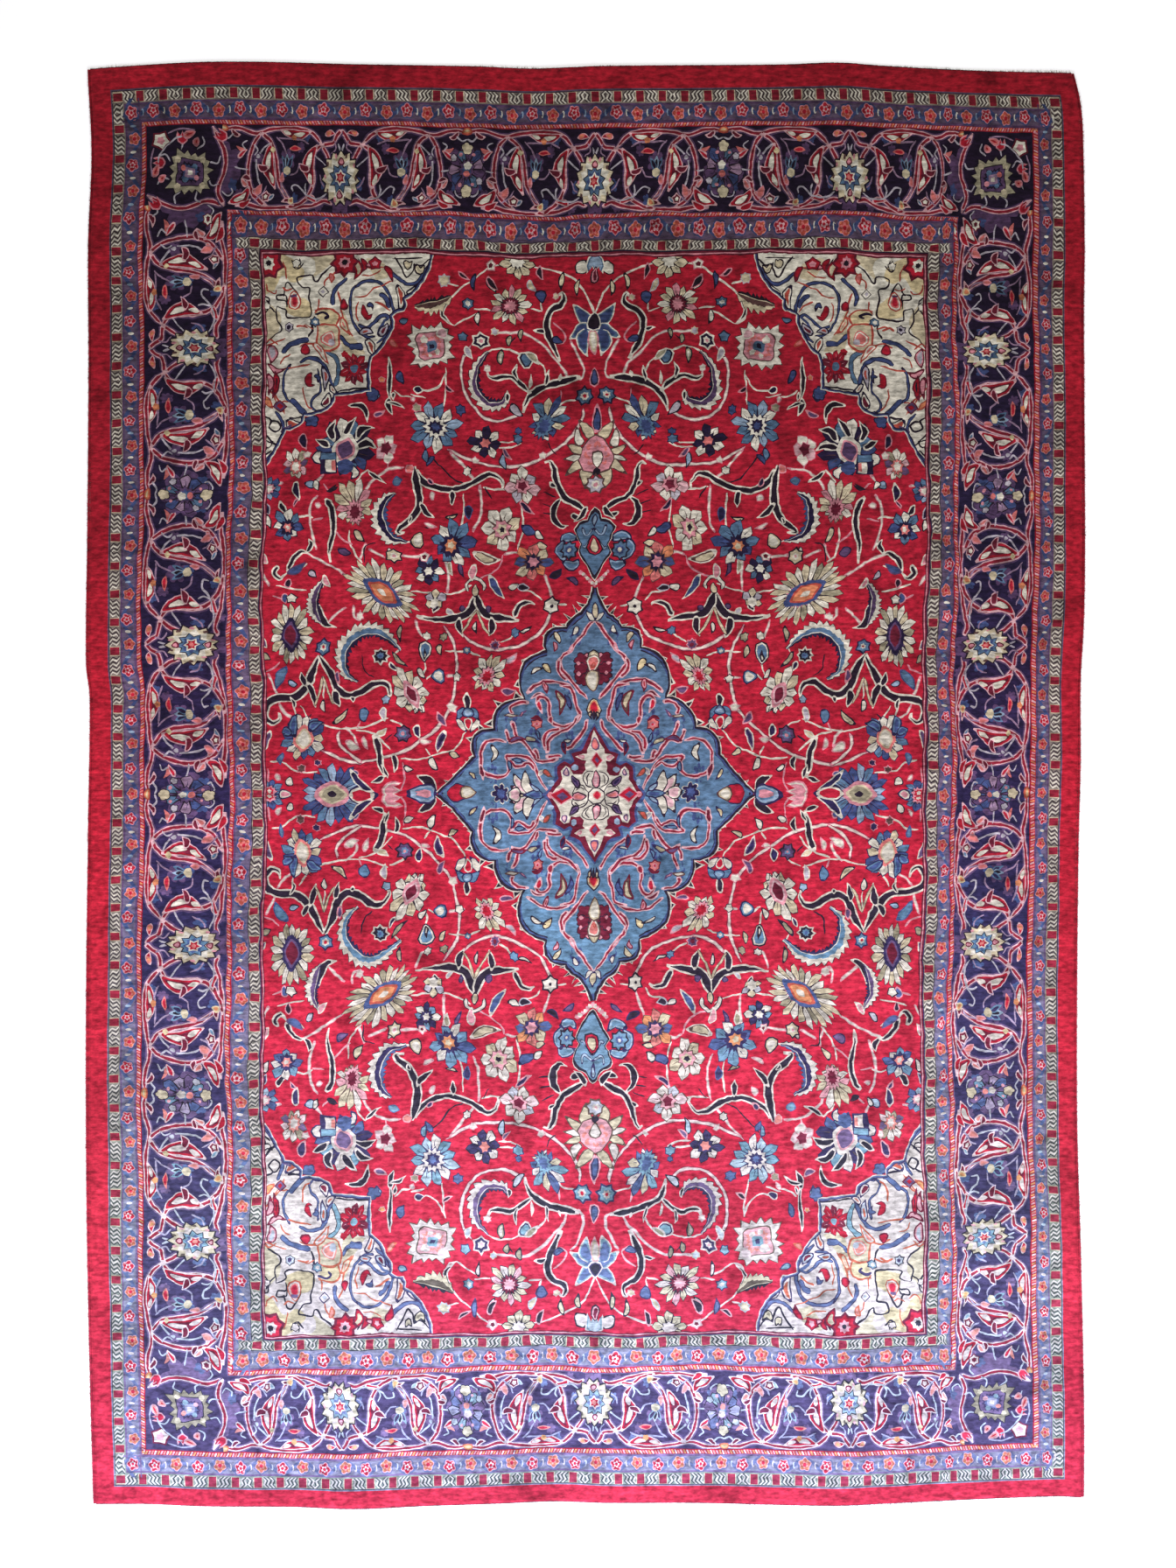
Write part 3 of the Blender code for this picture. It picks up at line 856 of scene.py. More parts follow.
BORDER_TENDRILS = (
    ("grey", 1.9, 17-26j, 27-32j, 40-31j, 48-27j, 56-19j, 63-20j, 62-26j),
    ("grey", 1.8, 32+13j, 25+7j, 18+1j), ("grey", 1.8, 45-30j, 47-22j, 45-16j),
    ("lilac", 1.8, 83+33j, 76+26j, 71+15j), ("lilac", 2.0, 41+26j, 52+31j, 64+31j, 80+32j),
    ("grey", 1.9, 92+27j, 101+20j, 108+10j, 107-8j, 103-20j), ("grey", 1.7, 112+26j, 107+20j, 110+14j),
    ("grey", 2.0, 16j, 3+26j), ("grey", 1.9, 149+34j, 143+32j, 137+37j),
    ("lilac", 1.8, 77-16j, 74-26j, 68-32j), ("lilac", 1.7, 52+4j, 58-6j, 66-8j),
    ("grey", 1.7, 118-2j, 127-1j, 134+1j), ("lilac", 1.7, 94-20j, 98-28j, 108-36j),
    ("grey", 1.6, 149-24j, 143-30j, 136-26j, 137-21j), ("lilac", 1.6, 12+16j, 6+22j, 8+30j),
    ("lilac", 1.6, 28-8j, 24-18j, 16-22j), ("grey", 1.6, 120+30j, 126+26j, 122+20j))
for yarn, width, *way in BORDER_TENDRILS:
    vine(yarn, width, *way)
for turn in (-24, 0, 24):
    heading = turned(turn)
    leaf("azure navy" if turn else "sky black", 6, *(70-2j + heading * reach * 1j for reach in (2, 9, 17)),
         edge=1.3)
area("cream", 70-3j + petals(6, 4.8, 0.1))
bud("rose salmon", 76-11j, 12, 6)
bud("rose salmon", 104-24j, 14, 8, 25)
floret("pink wine ivory", 94-32j, 6.5, 5)
bud("gold orange", 64-36j, 9, 7, 20)
bud("plum grey", 106+13j, 9, 7)
bud("salmon orange", 15+38j, 8, 6, 60)
bud("pink red", 126+16j, 15, 6, 50)
bud("pink salmon", 122-16j, 12, 6, -40)
bud("rust orange gold", 149+43j, 9, 12)
area("orange", 60+33j + petals(5, 3.6, 0.2))
area("gold", 88+20j + petals(4, 3.2, 0.2))
vines_of_border = take_drawn()

for yarn, radius, count, notch in (("black", 31, 15, 0.16), ("cream", 29, 15, 0.20), ("ivory", 24, 11, 0.26),
                                   ("black", 18, 9, 0.3), ("azure", 16.5, 9, 0.34), ("blue", 12, 8, 0.3),
                                   ("ivory", 9.5, 6, 0.35), ("crimson", 7, 6, 0.4), ("salmon", 3, 4, 0)):
    area(yarn, -10j + petals(count, radius, notch, 1.4, squash=0.76, steps=2))
for k in range(10):
    toward = 1j * cmath.exp(2j * math.pi * (k + 0.5) / 10)
    dot = petals(4, 2.8, 0.2, squash=0.5, turn=36 * k)
    area("brown" if k % 2 else "rose", -10j + complex(toward.real * 0.76, toward.imag) * 24 + dot)
for far in (16j, -20j):
    bud("wine rose red", far - 8j, 9, 7)
ivory_palmette = take_drawn()
flower("black plum/blue/lilac/plum/azure/blue plum blue azure", 0, 27, 11, 0.8, 8, ribs="navy", deep=0.86)
for at, size in ((24j, 6.5), (-24j, 7), (15+13j, 4), (-15-13j, 4)):
    area("black", at + petals(5, size + 1, 0.2, squash=0.9))
    area("cream" if size > 5 else "grey", at + petals(5, size, 0.2, squash=0.9))
area("ivory", -1+4j + petals(5, 4.8, 0.2))
area("salmon", -5j + petals(4, 3.6, 0))
for x, y in ((7, 17), (-7, 17), (7, -17), (-7, -17)):
    area("rose", complex(x, y) + petals(4, 1.9, 0))
plum_palmette = take_drawn()


def along_border(motif, start, way, side, stretch=1.0):
    """Draw a motif on an end (side False) or a side of the border, from a start, one way or the other."""
    middle = (LINES_ALONG[4] + LINES_ALONG[5]) / 2 if not side else (LINES_ACROSS[4] + LINES_ACROSS[5]) / 2
    for yarn, outline in motif:
        u, v = start + way * outline.real * stretch, middle + outline.imag
        area(yarn, v + 1j * u if side else u + 1j * v)


ring("navy", 5)
CORNER_INNER = complex(LINES_ACROSS[4], LINES_ALONG[4])
PALMETTES = ((False, (0, 292), (147,), CORNER_INNER.real), (True, (170, 506), (0, 340), CORNER_INNER.imag))
for side, ivories, plums, corner in PALMETTES:
    stops = sorted((*ivories, *plums, corner + 6))
    for start, stop in zip(stops, stops[1:]):
        at, way = (start, 1) if start in ivories else (stop, -1)
        along_border(vines_of_border, at, way, side, (stop - start) / HALF_REPEAT)
for side, ivories, plums, _ in PALMETTES:
    for at in ivories:
        along_border(ivory_palmette, at, 1, side)
        along_border(ivory_palmette, at, -1, side)
    for at in plums:
        along_border(plum_palmette, at, 1, side)

# The corner: a square flower between two vines, with florets, tulips and buds around it.
corner = CORNER_INNER + 44 + 44j
block("navy", CORNER_INNER + 7 + 7j, CORNER_INNER + 92 + 92j)
for way in (-22-34j, 2-40j, 22-38j, 46-26j), (-34-22j, -40+2j, -38+22j, -26+46j):
    vine("plum pink garnet", 8.6, *(corner + step for step in (-40-40j, *way)), edge=(1.6, 1.15))
for k in range(8):
    toward = cmath.exp(2j * math.pi * (k + 0.5) / 8)
    vine("grey", 1.8, corner + toward * 24, corner + toward * 32 * cmath.exp(0.15j), corner + toward * 38)
square_flower("black olive black plum navy blue lilac ivory", corner - 1 - 3j, 23, 4)
for k in range(4):
    area(("salmon", "azure", "rose", "azure")[k], corner - 1 - 3j + 9 * 1j ** (k + 0.4) + petals(4, 3.0, 0))
    area("cream", corner - 1 - 3j + 20 * 1j ** (k + 0.5) + petals(5, 3.6, 0.2))
floret("wine ivory rose", corner + 32 + 32j, 12, 5, turn=-45)
for turn, at in (-90, 34+8j), (0, 8+34j), (-60, -36+36j), (-30, 36-36j):
    tulip("rose red", corner + at, 13, turn)
floret("wine ivory wine", CORNER_INNER + 22 - 10j, 7, 6)
for at, tall, turn in (38j, 15, 70), (38, 15, 20), (-8+30j, 10, 30), (30-8j, 10, 60):
    bud("rose salmon crimson", corner + at, tall, 8, turn)
for yarn, width, *way in (("lilac", 1.8, 24+40j, 10+44j, -6+42j), ("lilac", 1.8, 40+24j, 44+10j, 42-6j),
                          ("grey", 1.8, 26+26j, 34+16j, 36+8j), ("grey", 1.8, 26+26j, 16+34j, 8+36j)):
    vine(yarn, width, *(corner + step for step in way))
pile.append(weave("pile_main_border", frame_region(4, 5)))


# ---- The inner guards ------------------------------------------------------------------------------
# Wool pile. The same stripes again inside the main border, in the other order.
rope(3, 6.5)
rosette_guard(2, 19.5, 24.5, 28.5)
block_stripe(1, 13.5, 26.5, 33)
ring("navy", 1, 0.6)
ring("wine", 1, -0.6)
ring("rose", 1, -2.2)
ring("wine", 1, -3.2)
pile.append(weave("pile_inner_guards", frame_region(0, 4)))


# ---- The field -------------------------------------------------------------------------------------
# Wool pile on a red ground: palmettes and flowers on thin scrolling stems, with dark forked arabesques.
# All places are in knots from the rug's centre, in the quarter to the right of it and above it.
def lobed(corners, bulges):
    """An outline through its corners, each stretch bulging outwards by a share of its length."""
    outline = []
    for start, stop, bulge in zip(corners, corners[1:], bulges):
        t = np.linspace(0, 1, 9)[:-1]
        outline.extend(start + (stop - start) * t + 1j * (stop - start) * 4 * bulge * t * (1 - t))
    return np.append(outline, corners[-1])


MEDALLION = lobed((236j, 15+206j, 30+190j, 53+164j, 79+110j, 113+74j, 139+42j, 158+22j, 181),
                  (-0.08, 0.12, 0.30, 0.30, 0.24, 0.30, 0.02, -0.04))
SPANDREL = lobed((184+611j, 196+578j, 215+560j, 218+547j, 232+543j, 236+521j, 255+496j, 257+456j, 299+452j,
                  305+438j, 334+431j, 337+420j, 354+413j, 377+372j),
                 (-0.10, -0.05, -0.15, 0.08, -0.12, -0.08, 0, 0, -0.14, -0.10, -0.2, -0.14, -0.04))


def arm(width, *points, yarns="ivory black", edge=1.8, full=0.6):
    """An arabesque's arm: a dark body edged with ivory, which runs out into a thin ivory tendril."""
    path, t = smooth_path(points)
    ribbon(yarns, path, np.interp(t, (0, 0.12, full, 1), (0.45, 1.1, 1, 0.26)) * width, edge)


def feather(yarns, width, teeth, *points):
    """A scrolled leaf: pale teeth along the right of its rib, a dull body, and dark teeth along the left."""
    path, t = smooth_path(points, 12)
    swell = np.sin(np.pi * np.clip(t, 0.03, 0.97)) ** 0.7 * width
    pale, body, dark = yarns.split()
    saw, back = t * teeth * 1.3 % 1, 1 - t * teeth * 1.3 % 1
    strip("black", path, swell * (0.46 + 0.36 * back) + 0.6, swell * (0.44 + 0.5 * saw) + 0.9)
    strip(pale, path, swell * 0.2, swell * (0.44 + 0.5 * saw))
    strip(dark, path, swell * (0.46 + 0.36 * back), swell * -0.1)
    strip(pale, path, swell * 0.36, swell * -0.1)
    strip(body, path, swell * 0.28, swell * (0.12 + 0.12 * saw))


ring("red", 0)

# Stems, from the main scrolls to the finest.
SCROLL_STEMS = (
    (16+440j, 17+430j, 25+412j, 40+397j, 58+384j, 75+376j, 100+372j, 130+374j, 150+381j, 170+392j),
    (140+508j, 152+490j, 153+470j, 146+448j, 131+430j, 112+425j, 98+429j, 84+438j),
    (318+51j, 305+45j, 290+38j, 270+35j, 240+42j, 225+46j, 212+52j, 200+62j, 186+72j, 174+84j, 165+98j,
     160+112j, 157+130j, 156+150j, 158+168j, 165+181j, 171+191j),
    (294+72j, 295+60j, 289+49j, 278+40j, 268+35j),
    (150+181j, 138+170j, 120+163j, 100+165j, 80+172j, 60+184j, 48+206j, 47+216j))
for way in SCROLL_STEMS:
    vine("wine rose ivory", 4.8, *way, edge=0.7)
FLOWER_STEMS = (
    (118+525j, 98+524j, 80+524j, 62+514j, 48+498j, 38+488j, 32+474j),
    (28+518j, 22+510j, 18+500j, 14+490j, 14+478j, 20+472j), (167+389j, 155+376j, 148+366j, 138+356j),
    (133+350j, 131+330j, 131+312j, 138+297j), (102+273j, 92+276j, 84+274j), (57+250j, 53+238j, 48+222j),
    (172+268j, 169+250j, 169+228j), (190+267j, 206+268j, 224+269j), (258+276j, 248+271j, 238+266j),
    (220+370j, 238+369j, 250+362j, 260+352j, 264+344j), (318+339j, 325+328j, 326+308j, 323+290j, 319+278j),
    (335+276j, 318+268j, 302+259j, 284+247j), (368+352j, 357+351j), (285+212j, 296+203j, 306+192j),
    (276+214j, 276+203j, 270+198j, 265+204j), (375+137j, 370+124j, 365+112j), (364+104j, 358+94j, 348+88j),
    (202+199j, 199+188j, 195+179j, 188+179j), (168+132j, 160+132j, 150+131j), (380+254j, 376+246j, 371+237j),
    (312+362j, 320+352j), (262+284j, 264+274j, 268+264j), (286+76j, 276+66j, 273+54j))
for way in FLOWER_STEMS:
    vine("rose ivory", 3.4, *way, edge=0.8)
FINE_STEMS = (
    (104+604j, 122+599j, 140+585j, 157+571j, 168+556j, 172+543j, 168+535j, 160+532j),
    (70+603j, 50+598j, 27+588j, 12+574j, 4+558j, 548j), (160+532j, 146+541j, 134+546j), (74+553j, 60+550j),
    (120+549j, 138+551j), (156+577j, 165+579j, 172+582j), (47+538j, 37+530j, 33+520j, 42+515j, 48+521j),
    (122+502j, 112+506j, 98+506j, 84+501j), (68+496j, 60+488j, 56+478j), (20+450j, 38+447j, 42+440j),
    (41+462j, 42+448j), (172+482j, 173+462j, 175+440j), (172+478j, 180+462j, 192+456j, 202+458j),
    (112+400j, 96+400j, 84+404j), (112+394j, 96+394j, 84+399j), (130+347j, 118+345j, 100+346j),
    (86+338j, 85+320j, 84+300j, 88+280j), (150+340j, 150+318j, 154+296j), (82+232j, 68+230j, 60+221j),
    (40+217j, 30+216j), (208+230j, 184+227j, 168+228j, 152+232j, 140+238j),
    (139+243j, 120+250j, 107+261j, 103+273j), (210+284j, 222+286j, 232+292j), (239+386j, 239+370j),
    (262+368j, 270+360j, 275+352j), (280+300j, 279+285j, 272+270j, 264+262j), (342+314j, 330+316j, 322+313j),
    (323+311j, 310+313j), (297+300j, 287+290j, 276+283j), (330+232j, 346+234j, 362+238j),
    (377+139j, 366+144j, 360+150j), (340+103j, 330+88j, 318+80j, 300+76j, 284+74j, 262+75j, 245+81j, 238+84j),
    (236+82j, 224+78j, 220+74j), (267+82j, 271+74j), (272+72j, 256+68j, 244+60j, 234+50j),
    (222+41j, 205+39j, 190+42j, 176+48j, 160+54j, 147+72j), (221+36j, 218+15j, 223+3j),
    (372+38j, 358+36j, 348+28j, 334+24j, 320+24j), (375+30j, 376+14j), (108+171j, 98+176j, 90+184j),
    (168+161j, 146+161j, 130+156j), (192+149j, 192+140j, 196+132j), (227+141j, 222+131j),
    (310+128j, 310+110j), (190+44j, 196+52j), (348+104j, 346+92j), (184+135j, 192+129j), (222+165j, 226+160j),
    (355+222j, 366+226j), (60+551j, 62+560j), (212+452j, 196+448j), (230+456j, 222+450j, 212+449j),
    (330+262j, 338+256j), (305+345j, 312+352j))
for way in FINE_STEMS:
    vine("rose" if way[0].real % 2 else "ivory", 2.0, *way)
DARK_STEMS = (
    (150+497j, 140+497j), (128+347j, 120+336j), (60+346j, 46+340j), (62+333j, 48+330j), (62+322j, 48+320j),
    (96+604j, 92+590j), (55+400j, 50+392j, 44+388j), (190+386j, 176+372j, 164+358j, 150+352j),
    (98+440j, 92+434j), (305+346j, 296+350j), (262+262j, 262+280j, 250+284j), (100+512j, 92+520j),
    (325+92j, 334+84j), (240+60j, 232+66j), (266+158j, 262+140j, 252+132j), (196+300j, 184+300j))
for way in DARK_STEMS:
    vine("black", 1.6, *way)

# Forked arabesques: their arms, then the thorns at their forks.
ARMS = (
    (8.5, 18+475j, 38+472j, 58+467j, 72+458j, 79+446j, 82+436j),
    (6.5, 74+458j, 86+469j, 98+476j, 112+473j, 120+475j, 122+484j),
    (8.5, 40+494j, 51+518j, 54+538j, 48+551j, 38+556j, 33+563j, 36+571j, 42+566j),
    (8.0, 204+368j, 196+354j, 176+345j, 158+346j, 142+352j, 128+360j, 117+361j, 109+352j, 110+345j),
    (9.5, 208+372j, 204+352j, 203+330j, 211+312j, 224+301j, 227+295j, 218+294j),
    (8.0, 8+322j, 22+333j, 36+341j, 44+356j, 46+370j, 51+379j, 57+377j),
    (7.5, 308+336j, 301+326j, 299+302j, 303+280j, 302+264j),
    (9.5, 311+158j, 322+136j, 332+122j, 345+112j, 362+110j, 376+104j, 379+92j, 372+83j, 364+87j, 363+94j),
    (9.5, 311+158j, 301+140j, 294+122j, 282+112j, 268+116j, 254+125j, 241+124j, 235+114j, 239+106j),
    (10, 136+227j, 141+212j, 150+202j, 166+198j, 184+199j, 202+203j),
    (10, 136+227j, 131+212j, 122+203j, 108+200j, 96+198j, 86+196j), (8.5, 254+66j, 247+50j, 245+32j, 242+19j),
    (7.0, 352+254j, 347+267j, 337+276j, 330+274j), (6.5, 362+262j, 366+253j, 359+246j, 352+253j),
    (7.0, 92+200j, 88+207j, 82+216j, 72+219j, 66+216j))
for width, *way in ARMS:
    arm(width, *way)
THORNS = (
    (9, 38+340j, 47+330j, 47+316j, 40+306j, 31+307j), (6, 56+527j, 62+529j, 70+529j),
    (5, 58+468j, 56+476j, 54+486j), (4, 42+473j, 40+480j), (5, 90+472j, 93+482j, 90+491j),
    (4, 75+464j, 74+481j), (8, 162+344j, 162+334j, 163+325j), (8, 203+332j, 195+320j, 184+312j),
    (5, 211+313j, 214+309j, 214+304j), (6, 236+496j, 236+474j, 235+456j, 235+440j),
    (8, 235+448j, 236+438j, 232+428j), (5, 238+442j, 226+440j, 218+434j), (5, 231+454j, 230+444j),
    (9, 328+128j, 324+116j, 321+100j), (8, 329+124j, 333+132j, 334+139j), (9, 296+120j, 295+110j, 292+99j),
    (6, 277+111j, 276+104j), (9, 155+200j, 155+189j, 149+177j), (9, 117+201j, 117+189j, 122+177j),
    (7, 243+20j, 250+16j, 258+14j), (5, 244+34j, 240+24j, 238+18j), (7, 231+46j, 228+36j, 231+26j),
    (7, 332+274j, 326+284j, 328+292j), (8, 312+240j, 320+232j), (6, 262+367j, 253+360j, 242+354j),
    (8, 285+441j, 270+441j, 262+432j, 261+420j), (5, 172+556j, 172+544j, 162+533j),
    (9, 315+216j, 312+200j, 306+191j, 295+188j), (6, 52+356j, 44+350j), (5, 350+112j, 346+104j, 348+97j))
for width, *way in THORNS:
    leaf("ivory black", width, *way, edge=1.3)
for start, stop in ((136+210j, 151+181j), (136+210j, 120+178j), (310+134j, 322+102j), (310+134j, 298+104j)):
    vine("brown cream", 3.6, start, start * 0.45 + stop * 0.55 + (-1 if stop.real > start.real else 1), stop,
         edge=0.7)
vine("black ivory", 5.4, 127+231j, 126+238j, 131+244j, 136+246j, 141+244j, 146+238j, 145+231j, edge=1.1)
leaf("black cream", 8, 136+224j, 136+232j, 136+239j, edge=1.2)

# Scrolled leaves.
feather("ivory plum navy", 11, 11, 101+457j, 106+447j, 124+445j, 137+460j, 135+482j, 122+502j)
feather("ivory navy blue", 12, 10, 215+284j, 236+291j, 247+312j, 244+332j, 230+342j)
feather("ivory plum navy", 10, 9, 312+192j, 319+208j, 321+226j, 312+243j)
feather("ivory azure navy", 12, 14, 270+128j, 284+140j, 287+158j, 280+174j, 266+185j, 250+186j, 234+178j,
        220+164j)
feather("cream brown black", 13, 5, 162+566j, 178+557j, 190+554j, 206+553j)

# Small leaves.
SMALL_LEAVES = (
    ("rose black", 8, 62+604j, 57+586j), ("navy blue", 7, 137+593j, 138+572j),
    ("rose black", 6, 157+595j, 143+586j), ("black ivory", 8, 122+590j, 114+571j),
    ("rose black", 9, 122+591j, 112+574j), ("grey cream", 8, 74+586j, 65+572j),
    ("black cream", 7, 34+594j, 37+574j), ("black cream", 7, 18+586j, 18+567j),
    ("black ivory", 7, 133+548j, 132+531j), ("black olive", 7, 85+529j, 85+514j),
    ("black olive", 8, 99+522j, 98+510j), ("navy blue", 9, 49+522j, 36+518j),
    ("ivory grey", 8, 146+507j, 140+492j), ("black olive ivory", 9, 106+506j, 106+488j),
    ("black grey", 10, 95+447j, 82+432j), ("ivory black", 6, 101+448j, 100+460j),
    ("rose black", 6, 174+462j, 162+455j), ("black sky", 8, 107+388j, 104+368j),
    ("rose plum", 6, 107+393j, 96+381j), ("rose navy", 7, 87+334j, 71+320j),
    ("blue navy", 10, 143+326j, 144+310j), ("black cream", 5, 171+312j, 156+316j),
    ("rose ivory", 6, 196+306j, 182+301j), ("ivory black", 8, 28+321j, 13+317j),
    ("ivory brown cream", 13, 139+276j, 106+268j), ("navy blue", 11, 86+308j, 66+299j),
    ("black ivory", 9, 68+304j, 60+292j), ("black cream", 9, 68+288j, 56+284j),
    ("navy black", 9, 52+246j, 38+257j), ("ivory blue", 10, 118+250j, 101+221j),
    ("black ivory", 9, 98+235j, 85+240j), ("grey black", 9, 86+238j, 72+236j),
    ("ivory olive", 7, 166+264j, 165+248j), ("navy plum", 6, 156+264j, 150+246j),
    ("ivory rose", 10, 136+262j, 139+242j), ("rose navy", 10, 335+410j, 331+390j),
    ("ivory navy", 9, 341+354j, 340+332j), ("rose navy", 5, 341+334j, 347+325j),
    ("navy sky", 11, 332+352j, 318+352j), ("black ivory", 8, 320+356j, 317+344j),
    ("blue azure", 11, 234+357j, 222+357j), ("rose salmon", 11, 218+366j, 210+374j),
    ("black black", 5, 307+344j, 294+349j), ("rose ivory", 7, 320+329j, 312+327j),
    ("ivory black", 8, 362+332j, 353+317j), ("black cream", 9, 272+301j, 263+285j),
    ("navy plum", 10, 292+280j, 278+273j), ("black ivory", 6, 235+278j, 230+270j),
    ("plum blue", 10, 352+253j, 332+264j), ("rose black", 8, 348+246j, 348+234j),
    ("rose blue", 9, 351+229j, 351+216j), ("black grey", 8, 326+256j, 318+246j),
    ("ivory rose", 7, 312+248j, 302+234j), ("rose plum", 7, 293+142j, 290+126j),
    ("black ivory", 8, 310+109j, 310+94j), ("black sky", 8, 351+130j, 340+126j),
    ("blue azure", 12, 351+144j, 366+120j), ("black cream olive", 8, 302+81j, 283+97j),
    ("ivory grey", 8, 241+98j, 241+80j), ("navy azure", 13, 262+97j, 262+80j),
    ("black olive", 7, 220+192j, 220+172j), ("black olive", 7, 230+162j, 213+143j),
    ("ivory navy", 6, 234+150j, 226+138j), ("black ivory", 8, 200+143j, 193+130j),
    ("rose ivory", 11, 286+60j, 271+50j), ("rose ivory", 7, 265+65j, 261+50j),
    ("ivory cream", 7, 251+66j, 238+72j), ("ivory navy", 9, 204+79j, 202+63j),
    ("rose ivory", 7, 202+61j, 190+61j), ("black ivory", 8, 220+33j, 208+28j),
    ("ivory plum", 8, 372+74j, 377+52j), ("blue azure", 7, 358+47j, 362+33j),
    ("black ivory", 10, 352+20j, 346+10j), ("rose ivory", 6, 366+24j, 360+16j),
    ("rose plum", 8, 180+92j, 171+76j), ("ivory plum navy", 10, 173+72j, 182+48j),
    ("black cream", 8, 168+50j, 156+43j), ("black ivory", 9, 189+42j, 181+26j),
    ("rose grey", 7, 102+150j, 88+161j), ("rose plum", 8, 108+120j, 91+120j),
    ("black ivory", 5, 86+185j, 69+191j), ("black ivory", 6, 135+195j, 135+180j),
    ("black cream", 8, 175+170j, 172+155j), ("navy azure", 8, 226+537j, 214+540j),
    ("rust salmon", 7, 236+516j, 226+508j), ("navy blue", 9, 226+480j, 220+464j),
    ("navy azure", 12, 250+456j, 252+443j), ("ivory navy", 9, 208+460j, 198+456j),
    ("rose ivory", 6, 210+450j, 208+442j), ("rose plum", 7, 254+428j, 240+434j),
    ("navy plum", 7, 20+238j, 34+247j), ("grey navy", 8, 378+330j, 374+316j),
    ("black ivory", 8, 376+316j, 372+300j), ("ivory plum", 8, 380+178j, 374+166j),
    ("black olive", 9, 378+160j, 370+152j), ("ivory rose", 9, 379+276j, 373+262j),
    ("rose blue", 6, 272+22j, 282+26j), ("ivory black", 8, 176+216j, 182+206j),
    ("navy plum", 7, 150+214j, 152+206j), ("navy plum", 8, 122+214j, 118+206j),
    ("ivory grey", 6, 168+210j, 160+202j), ("navy blue", 8, 184+384j, 192+372j),
    ("navy azure", 8, 194+392j, 192+376j), ("rose ivory", 8, 188+342j, 184+332j),
    ("rose navy", 7, 190+358j, 184+350j))
for yarns, wide, start, stop in SMALL_LEAVES:
    leaf(yarns, wide, start, (start + stop) / 2 + (stop - start) * 0.1j, stop, edge=1.4)

# Flowers.
FLOWERS = (
    ("black cream ivory", 87+607j, 20, 9, 1.0, 180, 0.1),
    ("black cream/ivory/cream/rose wine rose", 97+556j, 26, 13, 0.9, 60, 0),
    ("navy azure/ivory/sky/azure ivory navy blue", 184+416j, 29, 11, 1.0, 10, 0),
    ("black navy/ivory navy salmon", 128+400j, 20, 8, 1.0, 10, 0),
    ("brown ivory/grey/pink rose wine", 85+351j, 22, 7, 1.0, 0, 0),
    ("brown ivory/cream/ivory rose cream black", 107+302j, 26, 7, 0.85, 15, 0),
    ("navy azure/blue/azure/ivory navy orange cream", 163+283j, 27, 9, 1.0, 40, 0.12),
    ("brown salmon/cream/blue/orange navy rose", 71+265j, 23, 8, 1.0, 0, 0),
    ("brown cream/ivory/rose/cream rose wine", 276+326j, 27, 13, 0.8, -10, 0.22),
    ("navy ivory/azure/blue navy salmon ivory", 353+304j, 19, 8, 1.0, 0, 0.1),
    ("brown ivory/olive/plum/pink salmon ivory", 343+373j, 19, 9, 0.9, 0, 0.1),
    ("navy blue/ivory/azure/cream azure blue", 56+424j, 27, 12, 0.8, 25, 0.25),
    ("black azure/navy/ivory navy ivory", 190+253j, 17, 8, 1.0, 0, 0),
    ("black cream/ivory rose crimson", 121+136j, 25, 11, 0.72, 30, 0.1),
    ("navy azure/blue/sky rose ivory", 375+346j, 17, 8, 0.8, 90, 0),
    ("black cream/grey ivory", 182+219j, 13, 6, 1.0, 0, 0.2),
    ("rose ivory/pink wine", 240+391j, 17, 5, 0.9, 20, 0),
    ("navy azure/blue rose red ivory", 373+3j, 20, 9, 0.8, 90, 0))
for yarns, at, radius, count, squash, turn, opened in FLOWERS:
    flower(yarns, at, radius, count, squash, turn, yarns.split()[0] if radius > 17 else None, opened=opened)
FLORETS = (
    ("navy azure ivory", 145+557j, 7.5, 6), ("ivory navy ivory rose", 130+514j, 11, 6),
    ("rose ivory wine", 118+602j, 7, 5), ("black ivory ivory black", 48+215j, 11, 6),
    ("navy azure ivory red", 13+453j, 12, 7), ("black plum azure rose", 220+67j, 11, 7),
    ("navy azure ivory red", 308+167j, 10, 6), ("ivory black azure blue", 244+157j, 11, 8),
    ("black cream ivory rose", 229+268j, 10, 6), ("rose plum wine", 114+168j, 7, 8),
    ("navy azure", 90+184j, 6, 6), ("navy azure ivory", 145+162j, 5, 6), ("grey cream", 172+583j, 7.5, 7),
    ("navy azure", 149+518j, 7, 5), ("navy azure", 88+404j, 7.5, 6), ("rose brown", 337+28j, 6, 6),
    ("rose navy", 319+36j, 5, 6), ("rose azure ivory", 78+497j, 4, 6), ("cream grey", 115+525j, 5, 6),
    ("rose ivory", 140+378j, 5, 5), ("rose ivory", 60+385j, 5, 5), ("rose ivory", 163+98j, 7, 5),
    ("black ivory", 156+131j, 6, 5), ("black olive", 171+178j, 6, 6), ("black sky", 239+106j, 6, 5),
    ("rose ivory", 268+202j, 6, 6), ("black ivory", 190+179j, 6, 6), ("rose ivory", 122+483j, 5, 6),
    ("rose cream", 43+567j, 5, 6), ("black ivory", 148+366j, 6, 6), ("navy blue", 156+436j, 7, 6),
    ("navy blue", 88+414j, 5, 6), ("rose olive", 206+436j, 6, 6), ("black ivory", 345+222j, 7, 5),
    ("rose ivory", 330+384j, 5, 5), ("rose orange", 244+470j, 4, 5), ("rose ivory wine", 196+268j, 6, 5))
for yarns, at, radius, count in FLORETS:
    floret(yarns, at, radius, count)
